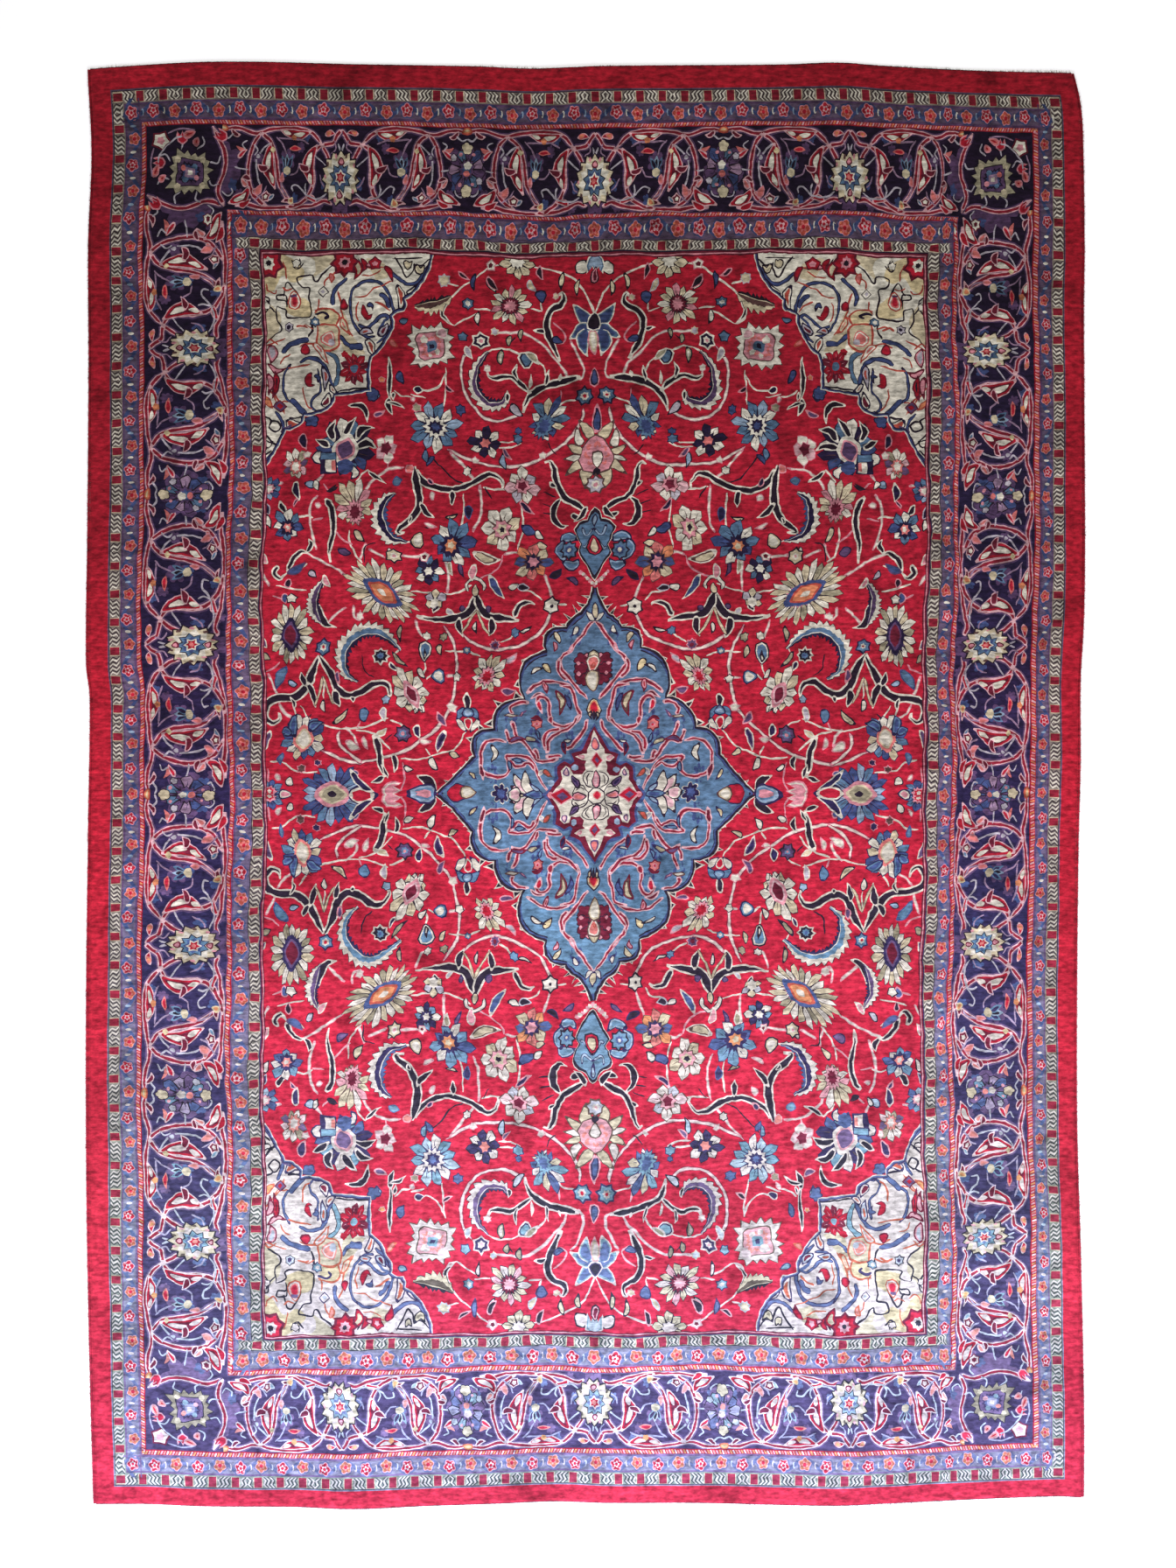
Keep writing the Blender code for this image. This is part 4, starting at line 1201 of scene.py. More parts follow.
for yarns, at, tall, wide, turn in (
        ("black ivory azure", 192+160j, 26, 17, 180), ("black cream ivory", 204+286j, 19, 14, 20),
        ("navy azure ivory", 178+132j, 17, 16, -90), ("ivory navy azure", 79+497j, 19, 17, 60),
        ("navy blue", 60+566j, 16, 13, 180), ("navy ivory rose", 355, 16, 12, 90)):
    bud(yarns, at, tall, wide, turn)
leaf("ivory olive", 8, 80+504j, 72+498j, 66+492j)
leaf("black ivory", 5, 192+150j, 192+156j, 192+164j)


def palmette(yarns, at, radius, count, squash, turn, heart, opened=0.06):
    """A large flower with a pointed heart of nested leaves."""
    flower(yarns, at, radius, count, squash, turn, "brown", 0.78, opened)
    toward = 1j * turned(turn)
    for i, yarn in enumerate(heart.split()):
        reach = radius * (0.56, 0.42, 0.33, 0.14)[i]
        leaf(yarn, reach * squash * 1.5, at - toward * reach, at, at + toward * reach, belly=1.0)


LARGE_PALMETTES = (
    ("black cream/ivory/cream/olive/ivory rose plum", 241+228j, 47, 26, 0.64, -58, "blue rust orange ivory"),
    ("black cream/ivory/olive/ivory plum plum", 345+180j, 36, 18, 0.7, 0, "navy plum wine"),
    ("navy blue/azure/sky/blue navy rose", 302, 38, 19, 0.9, 90, "rose cream olive black"),
    ("navy azure/navy/ivory/navy/blue navy blue", 288+390j, 33, 13, 1.0, 20, "ivory rose plum", 0.15),
    ("black ivory/cream/ivory ivory rose", 211+111j, 29, 11, 0.68, -24, "rose pink wine", 0.2),
    ("navy ivory/azure/blue/cream cream rose", 336+64j, 28, 13, 0.9, 10, "salmon cream ivory"))
for palmette_made in LARGE_PALMETTES:
    palmette(*palmette_made)
for way in ((345+66j, 348+82j, 345+93j), (330+72j, 322+80j, 312+82j), (348+68j, 356+74j, 360+72j)):
    leaf("navy azure blue", 11, *way, edge=1.6)

# The square flower: a toothed ivory edge around a rose ground, with a small blue heart.
square_flower("brown ivory brown rose salmon rose azure navy", 188+508j, 25, -8)
bud("ivory pink", 174+521j, 15, 12, 140)
for at, size in ((196+516j, 5.2), (181+501j, 3.6), (190+497j, 3)):
    area("ivory", at + petals(5, size, 0.2))

# The palmette on the middle line: a rose body in cream leaves, with a grey bud over it and a navy
# one under it.
MIDDLE_LEAVES = (
    ("brown cream", 13, 3+404j, 10+413j, 22+426j), ("brown ivory", 11, 14+398j, 21+404j, 23+418j),
    ("brown cream", 10, 14+391j, 23+393j, 34+399j), ("brown ivory", 9, 14+384j, 24+384j, 36+382j),
    ("brown cream", 12, 8+379j, 20+377j, 34+364j), ("brown cream", 15, 2+374j, 12+367j, 10+350j))
for yarns, width, *way in MIDDLE_LEAVES:
    leaf(yarns, width, *way, edge=1.3)
bud("brown rose", 388j, 44, 38)
area("salmon", 387j + petals(8, 14.4, 0.3))
area("rose", 387j + petals(8, 11.6, 0.3, turn=10))
bud("brown ivory", 382j, 19, 13, 180)
area("black", 369j + petals(5, 4.6, 0.1))
floret("brown grey ivory rose", 355j, 12.5, 7)
leaf("rose navy blue", 13, 411j, 426j, 443j, edge=1.6)
leaf("navy ivory red", 22, 284, 268, 251, edge=2.4, belly=0.7)
leaf("ivory navy", 9, 284+28j, 270+12j, 256+4j, edge=1.4)
for way in ((276+400j, 268+412j, 254+414j), (300+400j, 306+412j, 300+424j), (290+404j, 284+416j, 274+426j),
            (278+392j, 264+396j, 252+390j), (304+392j, 314+398j, 322+402j)):
    leaf("ivory black", 9, *way, edge=1.5)
for way in ((286+372j, 276+364j, 280+356j), (312+386j, 320+380j, 312+372j)):
    leaf("navy ivory", 10, *way, edge=1.6)
for yarn, low, high in (("navy", 297+362j, 315+386j), ("azure", 298+378j, 314+385j),
                        ("ivory", 299+364j, 309+377j), ("salmon", 299+366j, 303+376j)):
    block(yarn, low, high)
area("blue", petals(6, 9, 0.1) + 288 + 370j)

# The lily, gem and drops on the middle line, and the pendant over the medallion.
for way in ((2+536j, 13+546j, 23+559j), (4+534j, 16+528j, 29+520j), (8+530j, 12+516j, 8+500j)):
    leaf("ivory azure blue", 17, *way, edge=1.5, belly=0.6)
leaf("rose cream ivory", 12, 532j, 516j, 501j, edge=1.6)
bud("ivory navy black", 540j, 22, 17)
leaf("black ivory", 16, 8+606j, 16+598j, 22+592j)
tulip("ivory azure sky", 604j, 22, 180)
bud("black rose wine", 590j, 20, 10)
bud("rose navy blue", 475j, 24, 12)
for way in ((18+290j, 34+293j, 42+284j), (36+290j, 42+278j, 32+264j), (38+266j, 26+260j, 18+268j)):
    leaf("navy sky azure", 12, *way, edge=1.5)
floret("black azure blue ivory", 30+278j, 12, 8)
pendant = [326j, 5+322j, 9+314j, 18+311j, 24+303j, 21+296j, 19+290j, 15+284j, 19+276j, 14+266j, 7+254j, 245j]
pendant = smooth(pendant + [-corner.conjugate() for corner in pendant[-2::-1]], 2)
for yarn, share in (("ivory", 1.03), ("black", 1.0), ("azure", 0.9)):
    area(yarn, 286j + (pendant - 286j) * share)
for sign in (1, -1):
    for way in (((14, 306), (12, 298), (8, 296), (0, 303)), ((13, 282), (10, 280), (4, 290), (0, 296))):
        vine("navy sky", 3.4, *(complex(sign * x, y) for x, y in way), edge=0.8)
for i in range(7):
    area("ivory" if i % 2 else "rose", complex(17 - 2.9 * i, 253 - 2.3 * i) + petals(5, 2.6, 0, steps=1))
leaf("navy sky", 7, 320j, 313j, 304j)
bud("black red wine cream", 283j, 26, 17)
leaf("ivory black", 8, 9+329j, 14+320j, 24+312j, edge=1.3)
leaf("ivory black", 9, 145+115j, 145+105j, 145+94j, edge=1.6)
for sign in (-1, 1):
    leaf("navy azure", 10, *(145+85j + complex(sign * x, y) for x, y in ((0, 12), (8, 8), (14, 0))), edge=1.2)
    leaf("navy ivory", 9, *(145+85j + complex(sign * x, y) for x, y in ((14, 2), (9, -6), (2, -14))),
         edge=1.1)
bud("navy azure sky", 145+94j, 13, 14)
bud("ivory red", 145+80j, 15, 10, 180)
tulip("rose ivory rose", 234+4j, 23, 90)
leaf("ivory black", 12, 184+4j, 192+16j, 204+22j, edge=1.4, belly=0.7)
leaf("navy sky azure rose", 24, 182, 196+1j, 216+2j, edge=2.6)

# The medallion's edge: thin barbs, an ivory line and a dark one.
edge_way = np.gradient(MEDALLION)
edge_out = 1j * edge_way / abs(edge_way)
for k in range(3, len(MEDALLION) - 2, 3):
    root, out = MEDALLION[k] + edge_out[k], edge_out[k]
    size = 1 + 0.5 * math.sin(2.3 * k)
    for yarn, reach, wide in (("ivory", 8.6 * size, 0.8), ("black", 6.2 * size, 0.6)):
        point = root + out * reach + edge_way[k] * 0.3
        area(yarn, [root - edge_way[k] * wide, point, root + edge_way[k] * wide])
ribbon("ivory black", MEDALLION, 7.6, edge=1.1)
for at in 255+452j, 326+425j:
    for yarn, size in (("navy", 8.5), ("blue", 7)):
        area(yarn, at + petals(5, size, 0.25))
drawn_in_field = take_drawn()
drawn.extend(drawn_in_field)
field_middle = [MEDALLION, [FIELD_HALF.real, FIELD_HALF.real + 300j, 300j]]
pile.append(weave("pile_field_middle", np.concatenate(field_middle)))
drawn.extend(drawn_in_field)
field_ends = [[300j, FIELD_HALF.real + 300j], SPANDREL[::-1], [FIELD_HALF.imag * 1j]]
pile.append(weave("pile_field_ends", np.concatenate(field_ends)))




# ---- The medallion ---------------------------------------------------------------------------------
# Wool pile on azure, with double pink arabesques about an ivory star edged with wine.
block("azure", -10-10j, 260+260j)
ribbon("black blue", MEDALLION, 7.0, edge=1.5)
ribbon("azure", MEDALLION * 0.965, 4.6)
for at, size in ((20+180j, 12), (60+100j, 16), (96+84j, 12), (70+62j, 14), (118+22j, 12), (30+64j, 11),
                 (30+120j, 10)):
    area("blue", at + petals(7, size, 0.4, squash=0.6, turn=at.imag * 7))
    area("azure", at + 1 - 2j + petals(6, size - 3.4, 0.4, squash=0.5, turn=at.imag * 7))
MEDALLION_VINES = (
    (200j, 8+192j, 13+183j, 19+175j, 25+165j, 34+158j, 37+149j, 31+139j, 22+127j, 14+117j, 6+109j),
    (37+156j, 39+146j, 36+138j, 30+132j), (78+117j, 66+126j, 54+130j, 40+129j, 26+123j),
    (40+125j, 25+121j, 21+105j, 18+88j, 27+80j, 40+78j, 50+83j, 53+94j, 53+103j, 58+111j, 65+112j, 69+104j),
    (18+90j, 30+76j, 44+70j, 54+60j, 56+46j), (40+74j, 52+72j, 59+62j, 58+50j),
    (76+107j, 88+106j, 96+99j, 94+92j), (96+84j, 91+72j, 88+62j), (101+75j, 99+66j, 94+58j),
    (100+60j, 112+62j, 124+59j, 131+50j, 132+38j, 130+26j, 120+20j, 106+19j, 99+25j, 98+36j, 101+42j, 90+43j,
     78+42j, 70+34j, 64+22j, 54+4j), (98+40j, 92+31j, 84+32j, 76+36j, 68+27j),
    (98+58j, 86+62j, 78+56j, 71+45j, 65+38j, 54+38j, 42+40j), (57+43j, 46+43j, 38+44j),
    (70+52j, 67+46j, 66+40j), (8+85j, 12+74j, 20+64j, 27+56j, 35+50j))
for way in MEDALLION_VINES:
    vine("pink wine garnet" if way[0].real % 4 else "pink garnet", 4.9, *way, edge=(1.3, 0.6))
MEDALLION_LEAVES = (
    ("navy ivory", 7, 21+194j, 21+188j, 25+182j), ("black cream", 8, 45+186j, 40+180j, 37+172j),
    ("wine rose", 6, 46+175j, 42+170j, 43+164j), ("black gold", 9, 58+152j, 53+147j, 48+140j),
    ("black ivory", 6, 72+138j, 66+144j, 55+147j), ("wine rose crimson", 7, 57+131j, 57+124j, 56+116j),
    ("wine brown cream", 10, 46+118j, 37+106j, 40+90j), ("pink red", 7, 66+109j, 65+102j, 62+93j),
    ("brown ivory", 5, 103+90j, 95+90j, 87+89j), ("plum rose", 4, 88+88j, 84+92j, 79+97j),
    ("pink garnet", 7, 52+90j, 51+85j, 49+79j), ("navy olive cream", 7, 80+63j, 73+62j, 64+57j),
    ("wine navy", 7, 37+61j, 37+53j, 35+45j), ("black ivory", 8, 119+56j, 113+45j, 119+35j),
    ("navy ivory", 5, 38+62j, 32+61j, 26+62j), ("wine plum", 6, 98+60j, 88+64j, 78+62j),
    ("pink wine", 7, 133+34j, 130+24j, 129+15j), ("navy azure", 6, 95+38j, 88+38j, 80+37j),
    ("navy azure", 5, 98+38j, 97+30j, 98+24j), ("ivory grey", 6, 64+22j, 60+26j, 58+30j),
    ("brown rust", 7, 58+30j, 54+25j, 48+21j), ("navy ivory", 8, 200j, 5+203j, 10+210j),
    ("navy cream", 9, 200j, 210j, 220j), ("rose pink", 5, 28+162j, 24+168j, 22+174j),
    ("navy azure", 5, 66+72j, 65+66j, 62+60j), ("navy gold", 6, 146+26j, 142+20j, 137+15j),
    ("pink wine", 5, 74+110j, 66+116j, 58+115j), ("navy blue", 7, 34+114j, 28+104j, 28+94j),
    ("black pink cream", 13, 70+2j, 84+3j, 98+9j), ("black ivory pink", 13, 71+1j, 86+10j, 94+22j),
    ("black ivory", 13, 70, 78+12j, 80+27j), ("black ivory pink", 12, 84, 92+2j, 101+1j),
    ("navy azure blue", 9, 58, 68+1j, 82), ("navy crimson red", 22, 170, 158, 138),
    ("navy sky", 6, 62+4j, 68+7j, 74+13j))
for yarns, wide, *way in MEDALLION_LEAVES:
    leaf(yarns, wide, *way, edge=1.4)
bud("brown cream ivory", 147, 18, 15, 90)
floret("wine salmon rose red", 67+80j, 8, 6)
leaf("wine", 5, 74+86j, 67+88j, 60+84j)
for yarn, size, notch in (("ivory", 11.5, 0.4), ("navy", 10.4, 0.4), ("blue", 5, 0.3)):
    area(yarn, 110+1j + petals(7, size, notch, turn=12))

# On the middle line, two wine lobes around a cream stem of flowers, and a vase over the star.
for at, size in ((10+153j, 12), (11+134j, 11), (14+143j, 9)):
    area("black", at + petals(6, size, 0.25, turn=at.real * 9))
    area("wine", at + petals(6, size - 1.3, 0.25, turn=at.real * 9))
for at in (17+150j, 16+138j, 7+160j):
    area("rose", at + petals(4, 2.4, 0.2))
for yarns, tall, wide, at, turn in (
        ("black olive cream", 14, 13, 161j, 0), ("brown ivory salmon", 24, 16, 149j, 180),
        ("brown cream ivory", 26, 16, 129j, 180), ("rust salmon", 7, 5, 147j, 0)):
    bud(yarns, at, tall, wide, turn)
bud("black cream orange red", 99j, 22, 17)
for x in (0, 5):
    leaf("black cream" if x else "black", 5, 0.6 * x + 95j, x + 90j, 0.5 * x + 83j, edge=1.6)

# The star in the middle of it, ivory on wine, with dark scrolls and small buds.
def in_star(yarn, *corners):
    """An area round the centre, from its corners in one quarter."""
    quarter = np.array(corners)
    half = np.concatenate([quarter, quarter[-2::-1].conj()])
    area(yarn, np.concatenate([half, -half[1:-1].conj()[::-1]]))


in_star("blue", 80j, 10+66j, 17+56j, 31+49j, 28+39j, 37+40j, 47+32j, 46+21j, 53+9j, 60)
in_star("wine", 77j, 9+64j, 14+54j, 17+51j, 28+47j, 25+38j, 29+35j, 36+38j, 44+32j, 43+20j, 50+8j, 56)
in_star("ivory", 72j, 5+61j, 9+53j, 10+48j, 16+48j, 23+44j, 17+40j, 11+40j, 14+35j, 13+29j, 17+24j, 27+24j,
        30+31j, 35+33j, 39+28j, 38+19j, 44+9j, 51)
for turn, size in ((0, 1.0), (90, 0.92)):
    for side in (-1, 1):
        way = turned(-turn)
        for path in ((side * 4 + 9j, side * 12 + 14j, side * 15 + 22j, side * 10 + 27j, side * 3 + 28j),
                     (side * 9 + 13j, side * 11 + 20j, side * 8 + 25j)):
            vine("black", 1.2, *(point * way * size for point in path))
for yarns, at, tall, wide, turn in (
        ("plum salmon", 59j, 14, 9, 0), ("black rose pink", 19j, 21, 10, 0),
        ("black rose salmon", 18, 17, 10, 90), ("black plum navy", 24+17j, 17, 8, -42),
        ("rose salmon pink", 49, 11, 7, 90), ("plum pink", 34+27j, 9, 6, 0),
        ("rose pink", 17+44j, 8, 5, -70)):
    bud(yarns, at, tall, wide, turn)
for yarns, at, size, squash in (("rose crimson plum", 41j, 9.5, 0.75), ("rose crimson plum", 38, 10.5, 1.35),
                                ("black ivory salmon", 0, 10, 1.0)):
    sides, turn = (8, 22.5) if at == 0 else (4, 0)
    for i, yarn in enumerate(yarns.split()):
        outline = petals(sides, size - 1.5 * i - (i == 2) * size * 0.25, 0.0, turn=turn, steps=1)
        area(yarn, at + outline.real * squash + 1j * outline.imag)
area("red", petals(4, 5, 0.0, squash=0.7, steps=1))
for at in (24.5+31j, 50+14j):
    area("sky", at + petals(6, 3.6, 0.1))
pile.append(weave("pile_medallion", np.concatenate([MEDALLION, [0]])))




# ---- The spandrels ---------------------------------------------------------------------------------
# Wool pile on ivory, golden in the corner, with navy scrolls, crooked black lines and thin rust stems.
block("ivory", 170+360j, 390+620j)
CORNER_GROUND = (
    ("cream", 390+620j, 330+612j, 318+598j, 322+584j, 300+604j, 284+612j, 318+620j),
    ("gold", 390+620j, 346+608j, 330+590j, 342+580j, 356+588j, 366+572j, 380+566j, 392+570j),
    ("gold", 352+562j, 338+564j, 324+556j, 322+542j, 340+540j, 354+544j),
    ("gold", 318+546j, 300+549j, 293+540j, 296+530j, 312+530j),
    ("cream", 372+556j, 360+540j, 366+520j, 380+512j, 392+540j),
    ("cream", 316+530j, 294+530j, 292+506j, 304+500j, 318+506j),
    ("cream", 276+520j, 290+548j, 286+500j, 262+500j), ("cream", 250+580j, 262+606j, 240+600j, 236+584j))
for yarn, *way in CORNER_GROUND:
    area(yarn, smooth(way))
CORNER_SCROLLS = (
    # The scroll by the field's end, from its outer curve inwards.
    ("navy blue", 5.0, 298+553j, 299+563j, 296+572j, 290+579j, 283+585j),
    ("navy blue", 4.2, 276+572j, 266+579j, 252+579j, 243+575j, 236+567j, 232+556j, 231+546j, 234+534j,
     241+520j, 251+511j),
    ("navy blue", 3.4, 273+577j, 279+566j, 280+552j, 278+538j, 271+526j, 262+519j, 252+519j),
    ("navy blue", 4.2, 271+531j, 262+528j, 255+532j, 249+539j, 242+544j, 235+541j),
    ("blue", 3.2, 250+521j, 247+528j, 242+537j, 236+541j), ("navy blue", 5.9, 248+566j, 240+562j, 235+552j),
    ("navy blue", 4.7, 290+521j, 284+513j, 276+508j, 266+506j),
    ("navy blue", 7.6, 280+508j, 273+509j, 266+509j),
    # The scroll by the field's side.
    ("navy blue", 5.9, 360+499j, 352+507j, 341+512j, 328+514j),
    ("navy blue", 3.4, 350+487j, 357+476j, 358+460j, 354+450j, 348+446j),
    ("navy blue", 6.3, 350+450j, 344+443j, 338+437j, 331+432j),
    ("navy blue", 4.7, 340+489j, 331+494j, 321+494j, 313+490j, 308+482j, 304+470j, 300+462j),
    ("navy blue", 3.0, 318+484j, 317+472j, 317+458j, 325+450j, 327+441j, 321+435j),
    ("navy blue", 3.4, 322+436j, 312+436j, 303+442j, 302+452j),
    ("black azure", 6.0, 307+502j, 298+496j, 294+488j, 295+475j, 299+464j),
    # The tail along the field's end, and the one along its side.
    ("navy blue", 4.7, 233+591j, 223+583j, 212+578j, 202+580j, 193+590j, 184+603j),
    ("black", 2.2, 228+608j, 220+596j, 213+585j, 206+593j, 205+601j),
    ("black", 1.8, 206+600j, 196+598j, 188+606j),
    ("navy blue", 4.2, 366+434j, 359+422j, 357+409j, 362+397j, 371+386j, 380+376j),
    ("black", 2.2, 380+430j, 371+425j, 374+417j, 366+412j, 361+418j, 366+424j, 372+424j),
    ("black", 2.2, 380+411j, 373+404j, 366+398j, 362+398j), ("black", 2.0, 376+396j, 379+386j, 370+392j),
    ("black", 2.4, 352+428j, 344+428j, 336+430j),
    # The crooked black line around the pale golden body.
    ("black", 2.0, 294+605j, 304+597j, 311+591j, 316+582j, 320+581j, 322+588j, 334+587j, 338+584j, 334+575j,
     325+573j, 326+564j, 323+552j, 323+541j, 334+539j, 346+538j, 354+540j, 353+548j, 364+552j),
    ("black", 2.0, 352+551j, 352+560j, 361+561j, 362+567j, 354+568j, 352+578j, 348+581j, 344+576j, 340+569j,
     336+560j), ("black", 1.8, 364+552j, 366+538j, 360+530j, 361+524j, 370+518j, 378+508j),
    ("black", 1.8, 380+566j, 373+562j, 372+552j, 366+545j), ("black", 1.8, 356+566j, 352+566j, 350+556j),
    ("black", 2.4, 322+538j, 323+524j, 328+516j), ("navy", 3.0, 318+543j, 310+545j, 304+541j, 308+538j),
    ("black", 2.0, 346+606j, 343+598j, 338+596j, 332+603j), ("black", 1.6, 338+608j, 336+600j),
    ("black", 1.8, 376+560j, 372+554j, 378+544j), ("black", 2.0, 258+460j, 276+460j, 296+458j),
    ("azure", 1.6, 260+462j, 260+478j, 261+494j), ("black", 1.8, 272+606j, 268+598j, 272+588j),
    ("black", 1.6, 230+606j, 212+606j, 196+607j))
for yarns, width, *way in CORNER_SCROLLS:
    vine(yarns, width, *way, edge=0.9)
CORNER_STEMS = (
    (1.8, 309+574j, 308+582j, 301+589j, 295+596j), (1.8, 314+560j, 314+550j, 318+545j),
    (1.6, 276+562j, 264+564j, 256+571j, 246+574j), (2.4, 252+558j, 243+555j, 235+548j),
    (1.8, 272+557j, 274+546j, 270+534j), (2.2, 294+569j, 290+558j, 290+546j, 285+532j, 276+520j),
    (2.2, 318+548j, 302+549j, 293+541j, 296+530j),
    (2.4, 318+530j, 305+532j, 293+528j, 291+514j, 295+505j, 308+502j, 318+506j, 317+520j, 316+530j),
    (2.0, 354+482j, 344+484j, 326+488j), (1.8, 336+462j, 336+452j, 332+442j, 326+438j),
    (1.8, 356+432j, 359+446j, 352+446j), (1.8, 380+506j, 366+512j, 354+516j),
    (1.8, 364+508j, 372+514j, 378+510j), (1.8, 351+584j, 352+594j, 356+604j),
    (1.8, 362+573j, 366+568j, 374+572j, 376+580j), (2.0, 266+596j, 252+594j, 240+596j),
    (1.6, 244+592j, 254+586j, 266+586j), (1.8, 356+576j, 350+572j, 344+574j),
    (1.6, 232+580j, 240+577j, 246+574j), (1.8, 336+528j, 330+530j, 322+526j),
    (2.4, 342+527j, 335+529j, 328+526j), (2.0, 372+458j, 362+448j, 358+434j),
    (1.8, 378+466j, 370+456j, 364+446j), (1.6, 350+498j, 358+494j, 362+486j),
    (2.0, 318+508j, 330+510j, 340+506j))
for width, *way in CORNER_STEMS:
    vine("rust", width, *way)
CORNER_LEAVES = (
    ("navy ivory rust", 11, 226+577j, 220+563j, 225+546j),
    ("navy ivory rust", 9, 214+566j, 205+571j, 195+581j), ("navy grey rust", 9, 270+522j, 262+525j, 254+523j),
    ("navy grey wine", 10, 250+520j, 243+526j, 238+535j),
    ("navy ivory rust", 10, 262+517j, 257+508j, 253+494j),
    ("rust cream salmon", 8, 291+540j, 286+530j, 279+521j),
    ("navy grey rust", 9, 312+486j, 310+474j, 312+458j),
    ("navy ivory wine", 12, 315+442j, 309+446j, 306+457j),
    ("navy ivory rust", 8, 306+466j, 301+459j, 294+456j),
    ("rust ivory salmon", 9, 324+509j, 314+503j, 305+488j), ("rust salmon", 7, 304+591j, 301+585j, 302+578j),
    ("navy ivory rust", 13, 355+426j, 345+419j, 334+423j), ("plum sky rust", 8, 360+412j, 353+414j, 348+420j),
    ("wine rose grey", 12, 373+509j, 370+498j, 373+486j), ("wine rose", 7, 376+486j, 366+478j, 356+482j),
    ("wine crimson black", 8, 368+478j, 366+464j, 369+449j), ("wine rose", 8, 376+476j, 372+466j, 374+452j),
    ("rust orange", 8, 380+452j, 374+444j, 368+438j),
    ("wine crimson cream", 12, 278+603j, 270+594j, 275+582j),
    ("wine crimson", 7, 268+606j, 262+598j, 266+590j), ("wine rose", 7, 262+596j, 254+599j, 247+606j),
    ("wine crimson", 8, 240+597j, 234+590j, 231+579j), ("wine rose", 8, 300+604j, 292+598j, 284+590j),
    ("black cream", 9, 216+604j, 212+598j, 208+604j), ("black cream olive", 9, 204+600j, 198+592j, 192+599j),
    ("black ivory", 8, 380+402j, 374+398j, 368+402j))
for yarns, wide, *way in CORNER_LEAVES:
    leaf(yarns, wide, *way, edge=1.6)
CORNER_FLORETS = (
    ("wine crimson rose black", 287+602j, 17, 8), ("wine crimson rose", 250+600j, 9, 5),
    ("wine red ivory black", 372+602j, 19, 7), ("navy ivory grey", 310+568j, 6.5, 4),
    ("navy azure ivory", 319+534j, 6.5, 6), ("black grey navy", 350+528j, 6.5, 6),
    ("wine plum crimson", 361+441j, 8, 4), ("black ivory", 375+553j, 5, 5), ("black ivory", 341+602j, 6, 5))
for yarns, at, radius, count in CORNER_FLORETS:
    floret(yarns, at, radius, count)
flower("wine crimson/crimson/wine crimson", 275+483j, 20, 10, 0.9, ribs="rose")
area("azure", 275+483j + petals(6, 4.4, 0))
area("crimson", 286+499j + petals(5, 4.4, 0.2))
bud("rust ivory salmon red", 343+560j, 23, 15)
block("plum", 340+564j, 347+567j)
bud("salmon ivory salmon", 304+516j, 19, 18, 20)
area("grey", 300+512j + petals(4, 4, 0))
bud("wine crimson red", 287+553j, 13, 9)
bud("wine red", 333+504j, 12, 11)
for at, turn in ((260+547j, 0), (325+470j, 40)):
    heading = turned(turn)
    leaf("wine crimson", 8, *(at + heading * point for point in (6+7j, 5-1j, -7j, -5-3j)), edge=1.2)
    leaf("navy blue", 5.9, *(at + heading * point for point in (2+5j, -3+8j, -6+1j)), edge=1.2)
ribbon("navy blue ivory", SPANDREL, 8.4, edge=1.5)
pile.append(weave("pile_spandrels", np.concatenate([SPANDREL, [FIELD_HALF]])))


# ---- Foundation and woven back -----------------------------------------------------------------------
# Cotton foundation, woven in one sheet with the pile standing on it. The knots show on its back, so the
# larger areas of the pattern are repeated there.
WHOLE_QUARTER = np.array(box(0j, HALF_CHART))
drawn.extend([("red", WHOLE_QUARTER)] + for_back)
foundation = weave("foundation", WHOLE_QUARTER, 0.0)


# ---- Overcast sides ----------------------------------------------------------------------------------
# Each side is a cord of warps wrapped round with red wool, a little hairy with worn fibres.
SELVEDGE_DIAMETER = 7 * MM
SEAM_GAP = 0.3 * MM
CORD_RINGS, CORD_SIDES = 2700, 8
WRAP_STEPS = 3                  # rings of the mesh to a turn of the wrapping
FIBRES, FIBRE_ENDS_CLEAR = 2600, 10
rng = np.random.default_rng(4)


def tube(rings, corners, way):
    """The faces of a closed tube from rings of corners, which run one way round (1) or the other (-1)."""
    faces = [tuple(ring * corners + corner % corners
                   for ring, corner in ((i, j), (i, j + 1), (i + 1, j + 1), (i + 1, j)))[::way]
             for i in range(rings - 1) for j in range(corners)]
    return faces + [tuple(range(corners))[::-way],
                    tuple(range((rings - 1) * corners, rings * corners))[::way]]


def edge_piece(name, corners, faces, yarn, slot, node):
    add_piece(name, corners, faces, [dye(yarn)] * len(faces), slot, node)


def strands(roots, bends, tips, radius):
    """Corners and faces of many closed three-sided strands, each from a root over a bend to a pointed tip."""
    way = tips - roots
    across = np.cross(way, (0, 0, 1.0))
    across /= np.linalg.norm(across, axis=1)[:, None]
    up = np.cross(across, way)
    up /= np.linalg.norm(up, axis=1)[:, None]
    rings = []
    for middle, share in ((roots, 1.0), (bends, 0.8)):
        for turn in (90, 210, 330):
            angle = math.radians(turn)
            spread = across * math.cos(angle) + up * math.sin(angle)
            rings.append(middle + spread * radius[:, None] * share)
    corners = np.stack(rings + [tips], axis=1).reshape(-1, 3)
    one = [(2, 1, 0), (0, 1, 4, 3), (1, 2, 5, 4), (2, 0, 3, 5), (3, 4, 6), (4, 5, 6), (5, 3, 6)]
    faces = [tuple(corner + 7 * k for corner in face) for k in range(len(roots)) for face in one]
    return corners, faces


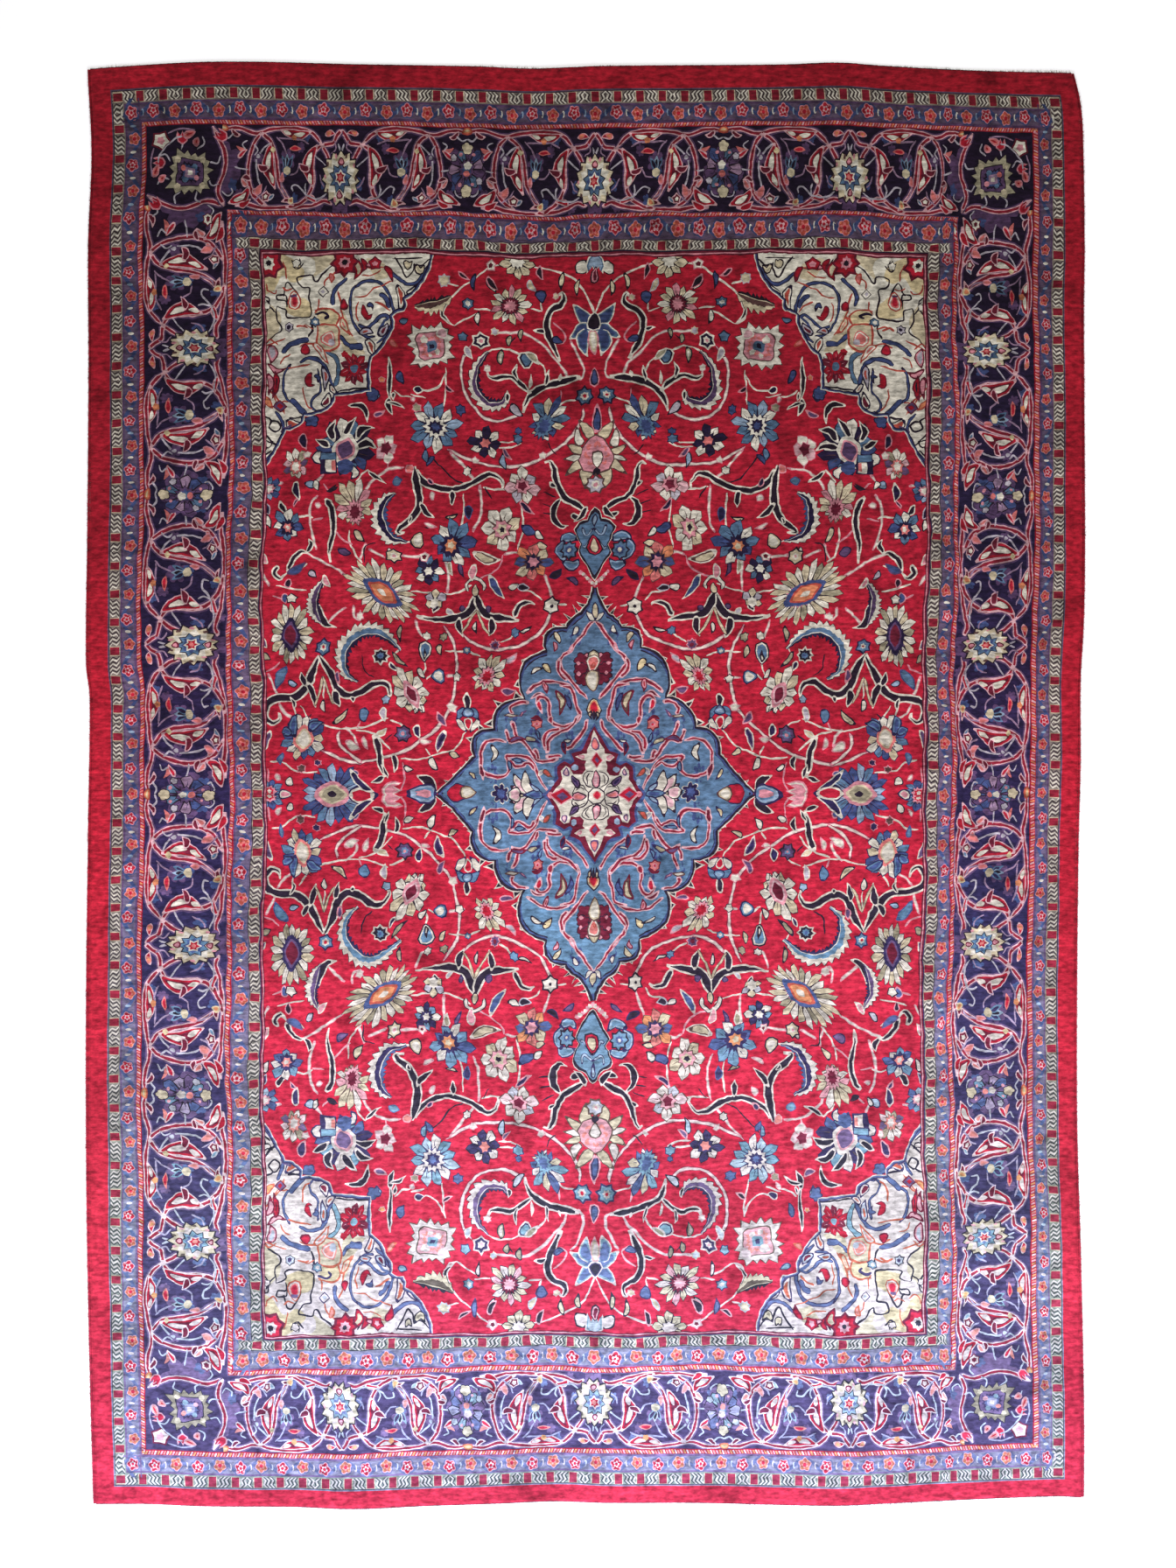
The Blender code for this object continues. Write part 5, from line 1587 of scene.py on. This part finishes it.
for name, side in (("selvedge_left", -1), ("selvedge_right", 1)):
    chart_y = np.linspace(-HALF_CHART.imag, HALF_CHART.imag, CORD_RINGS)
    x, y = lay(np.full(CORD_RINGS, side * HALF_CHART.real), chart_y)
    x, y = x + SHIFT_X + side * (SEAM_GAP + SELVEDGE_DIAMETER / 2), y + SHIFT_Y
    ridges = np.cos(2 * np.pi * np.arange(CORD_RINGS) / WRAP_STEPS)
    wrap = 0.95 + 0.05 * ridges - 0.04 * rng.random(CORD_RINGS)
    radius = SELVEDGE_DIAMETER / 2 * wrap
    turns = 2 * np.pi * np.arange(CORD_SIDES) / CORD_SIDES
    corners = np.stack([x[:, None] + radius[:, None] * np.cos(turns), y[:, None] + 0 * turns,
                        SELVEDGE_DIAMETER / 2 + radius[:, None] * np.sin(turns)], axis=2).reshape(-1, 3)
    edge_piece(name + "_cord", corners, tube(CORD_RINGS, CORD_SIDES, -1), "crimson", "overcast_wool", name)

    pick = rng.integers(FIBRE_ENDS_CLEAR, CORD_RINGS - FIBRE_ENDS_CLEAR, FIBRES)
    lift = rng.uniform(0.2, 1.0, len(pick)) * np.pi / 2
    length = rng.uniform(1.5, 5.0, len(pick)) * MM
    root = np.column_stack([x[pick] + side * 3 * MM * np.cos(lift), y[pick], (3.6 + 2.9 * np.sin(lift)) * MM])
    lean = rng.normal(0, 0.6, len(pick))
    out = np.column_stack([side * length, lean * length, rng.uniform(-0.5, 0.5, len(pick)) * length])
    tip = root + out
    tip[:, 2] = np.maximum(tip[:, 2], 0.6 * MM)
    bend = root + out * 0.55 + np.column_stack([0 * lift, rng.normal(0, 0.3, len(pick)) * length, 0 * lift])
    corners, faces = strands(root, bend, tip, rng.uniform(0.25, 0.55, len(pick)) * MM)
    edge_piece(name + "_fibres", corners, faces, "red", "overcast_wool", name)


# ---- Warp ends -----------------------------------------------------------------------------------------
# Cotton. A narrow web closes each end, and the cut warps stand out of it, longer where they were left.
WEB_RINGS = 560
WEB_WIDTH, WEB_THICKNESS = 3 * MM, 2.4 * MM
STRANDS = 1500                  # at each end, rooted half a web's width into it
SHORTEST, LONGEST = 1.8 * MM, 9 * MM
TOP_GROWTH = ((-1.27, 0.06, 0.8), (-0.20, 0.10, 0.9), (0.05, 0.05, 0.4), (0.94, 0.10, 0.8), (1.25, 0.14, 1.0))
BOTTOM_GROWTH = ((-0.95, 0.04, 0.6), (-0.58, 0.08, 0.9), (0.44, 0.03, 0.7), (0.82, 0.16, 1.0),
                 (1.28, 0.05, 0.7))

for name, end, growth in (("warp_ends_top", 1, TOP_GROWTH), ("warp_ends_bottom", -1, BOTTOM_GROWTH)):
    chart_x = np.linspace(-HALF_CHART.real, HALF_CHART.real, WEB_RINGS)
    x, y = lay(chart_x, np.full(WEB_RINGS, end * HALF_CHART.imag))
    x, y = x + SHIFT_X, y + SHIFT_Y + end * SEAM_GAP
    depth = WEB_WIDTH * rng.uniform(0.8, 1.05, WEB_RINGS)
    profile = ((0, 0), (1, 0), (1, 1), (0, 1))
    corners = np.stack([np.column_stack([x, y + end * far * depth, high * WEB_THICKNESS + 0 * x])
                        for far, high in profile], axis=1).reshape(-1, 3)
    edge_piece(name + "_web", corners, tube(WEB_RINGS, len(profile), end), "wine", "cotton_warp", name)

    pick = rng.uniform(0, WEB_RINGS - 1, STRANDS)
    at_x, at_y = np.interp(pick, np.arange(WEB_RINGS), x), np.interp(pick, np.arange(WEB_RINGS), y)
    share = np.max([part * np.exp(-((at_x - middle) / spread) ** 2) for middle, spread, part in growth],
                   axis=0)
    length = (SHORTEST + (LONGEST - SHORTEST) * share) * rng.uniform(0.5, 1.0, len(pick))
    root = np.column_stack([at_x, at_y + end * WEB_WIDTH / 2, rng.uniform(0.8, 1.9, len(pick)) * MM])
    out = np.column_stack([rng.normal(0, 0.45, len(pick)) * length, end * (length + WEB_WIDTH / 2),
                           0 * length])
    tip = root + out
    tip[:, 2] = rng.uniform(0.5, 1.6, len(pick)) * MM
    bow = np.column_stack([rng.normal(0, 0.2, len(pick)) * length, 0 * length, 0.4 * length * share])
    corners, faces = strands(root, root + out * 0.6 + bow, tip, rng.uniform(0.25, 0.5, len(pick)) * MM)
    edge_piece(name + "_strands", corners, faces, "cotton", "cotton_warp", name)


# ---- Finish ----------------------------------------------------------------------------------------
bpy.context.view_layer.update()
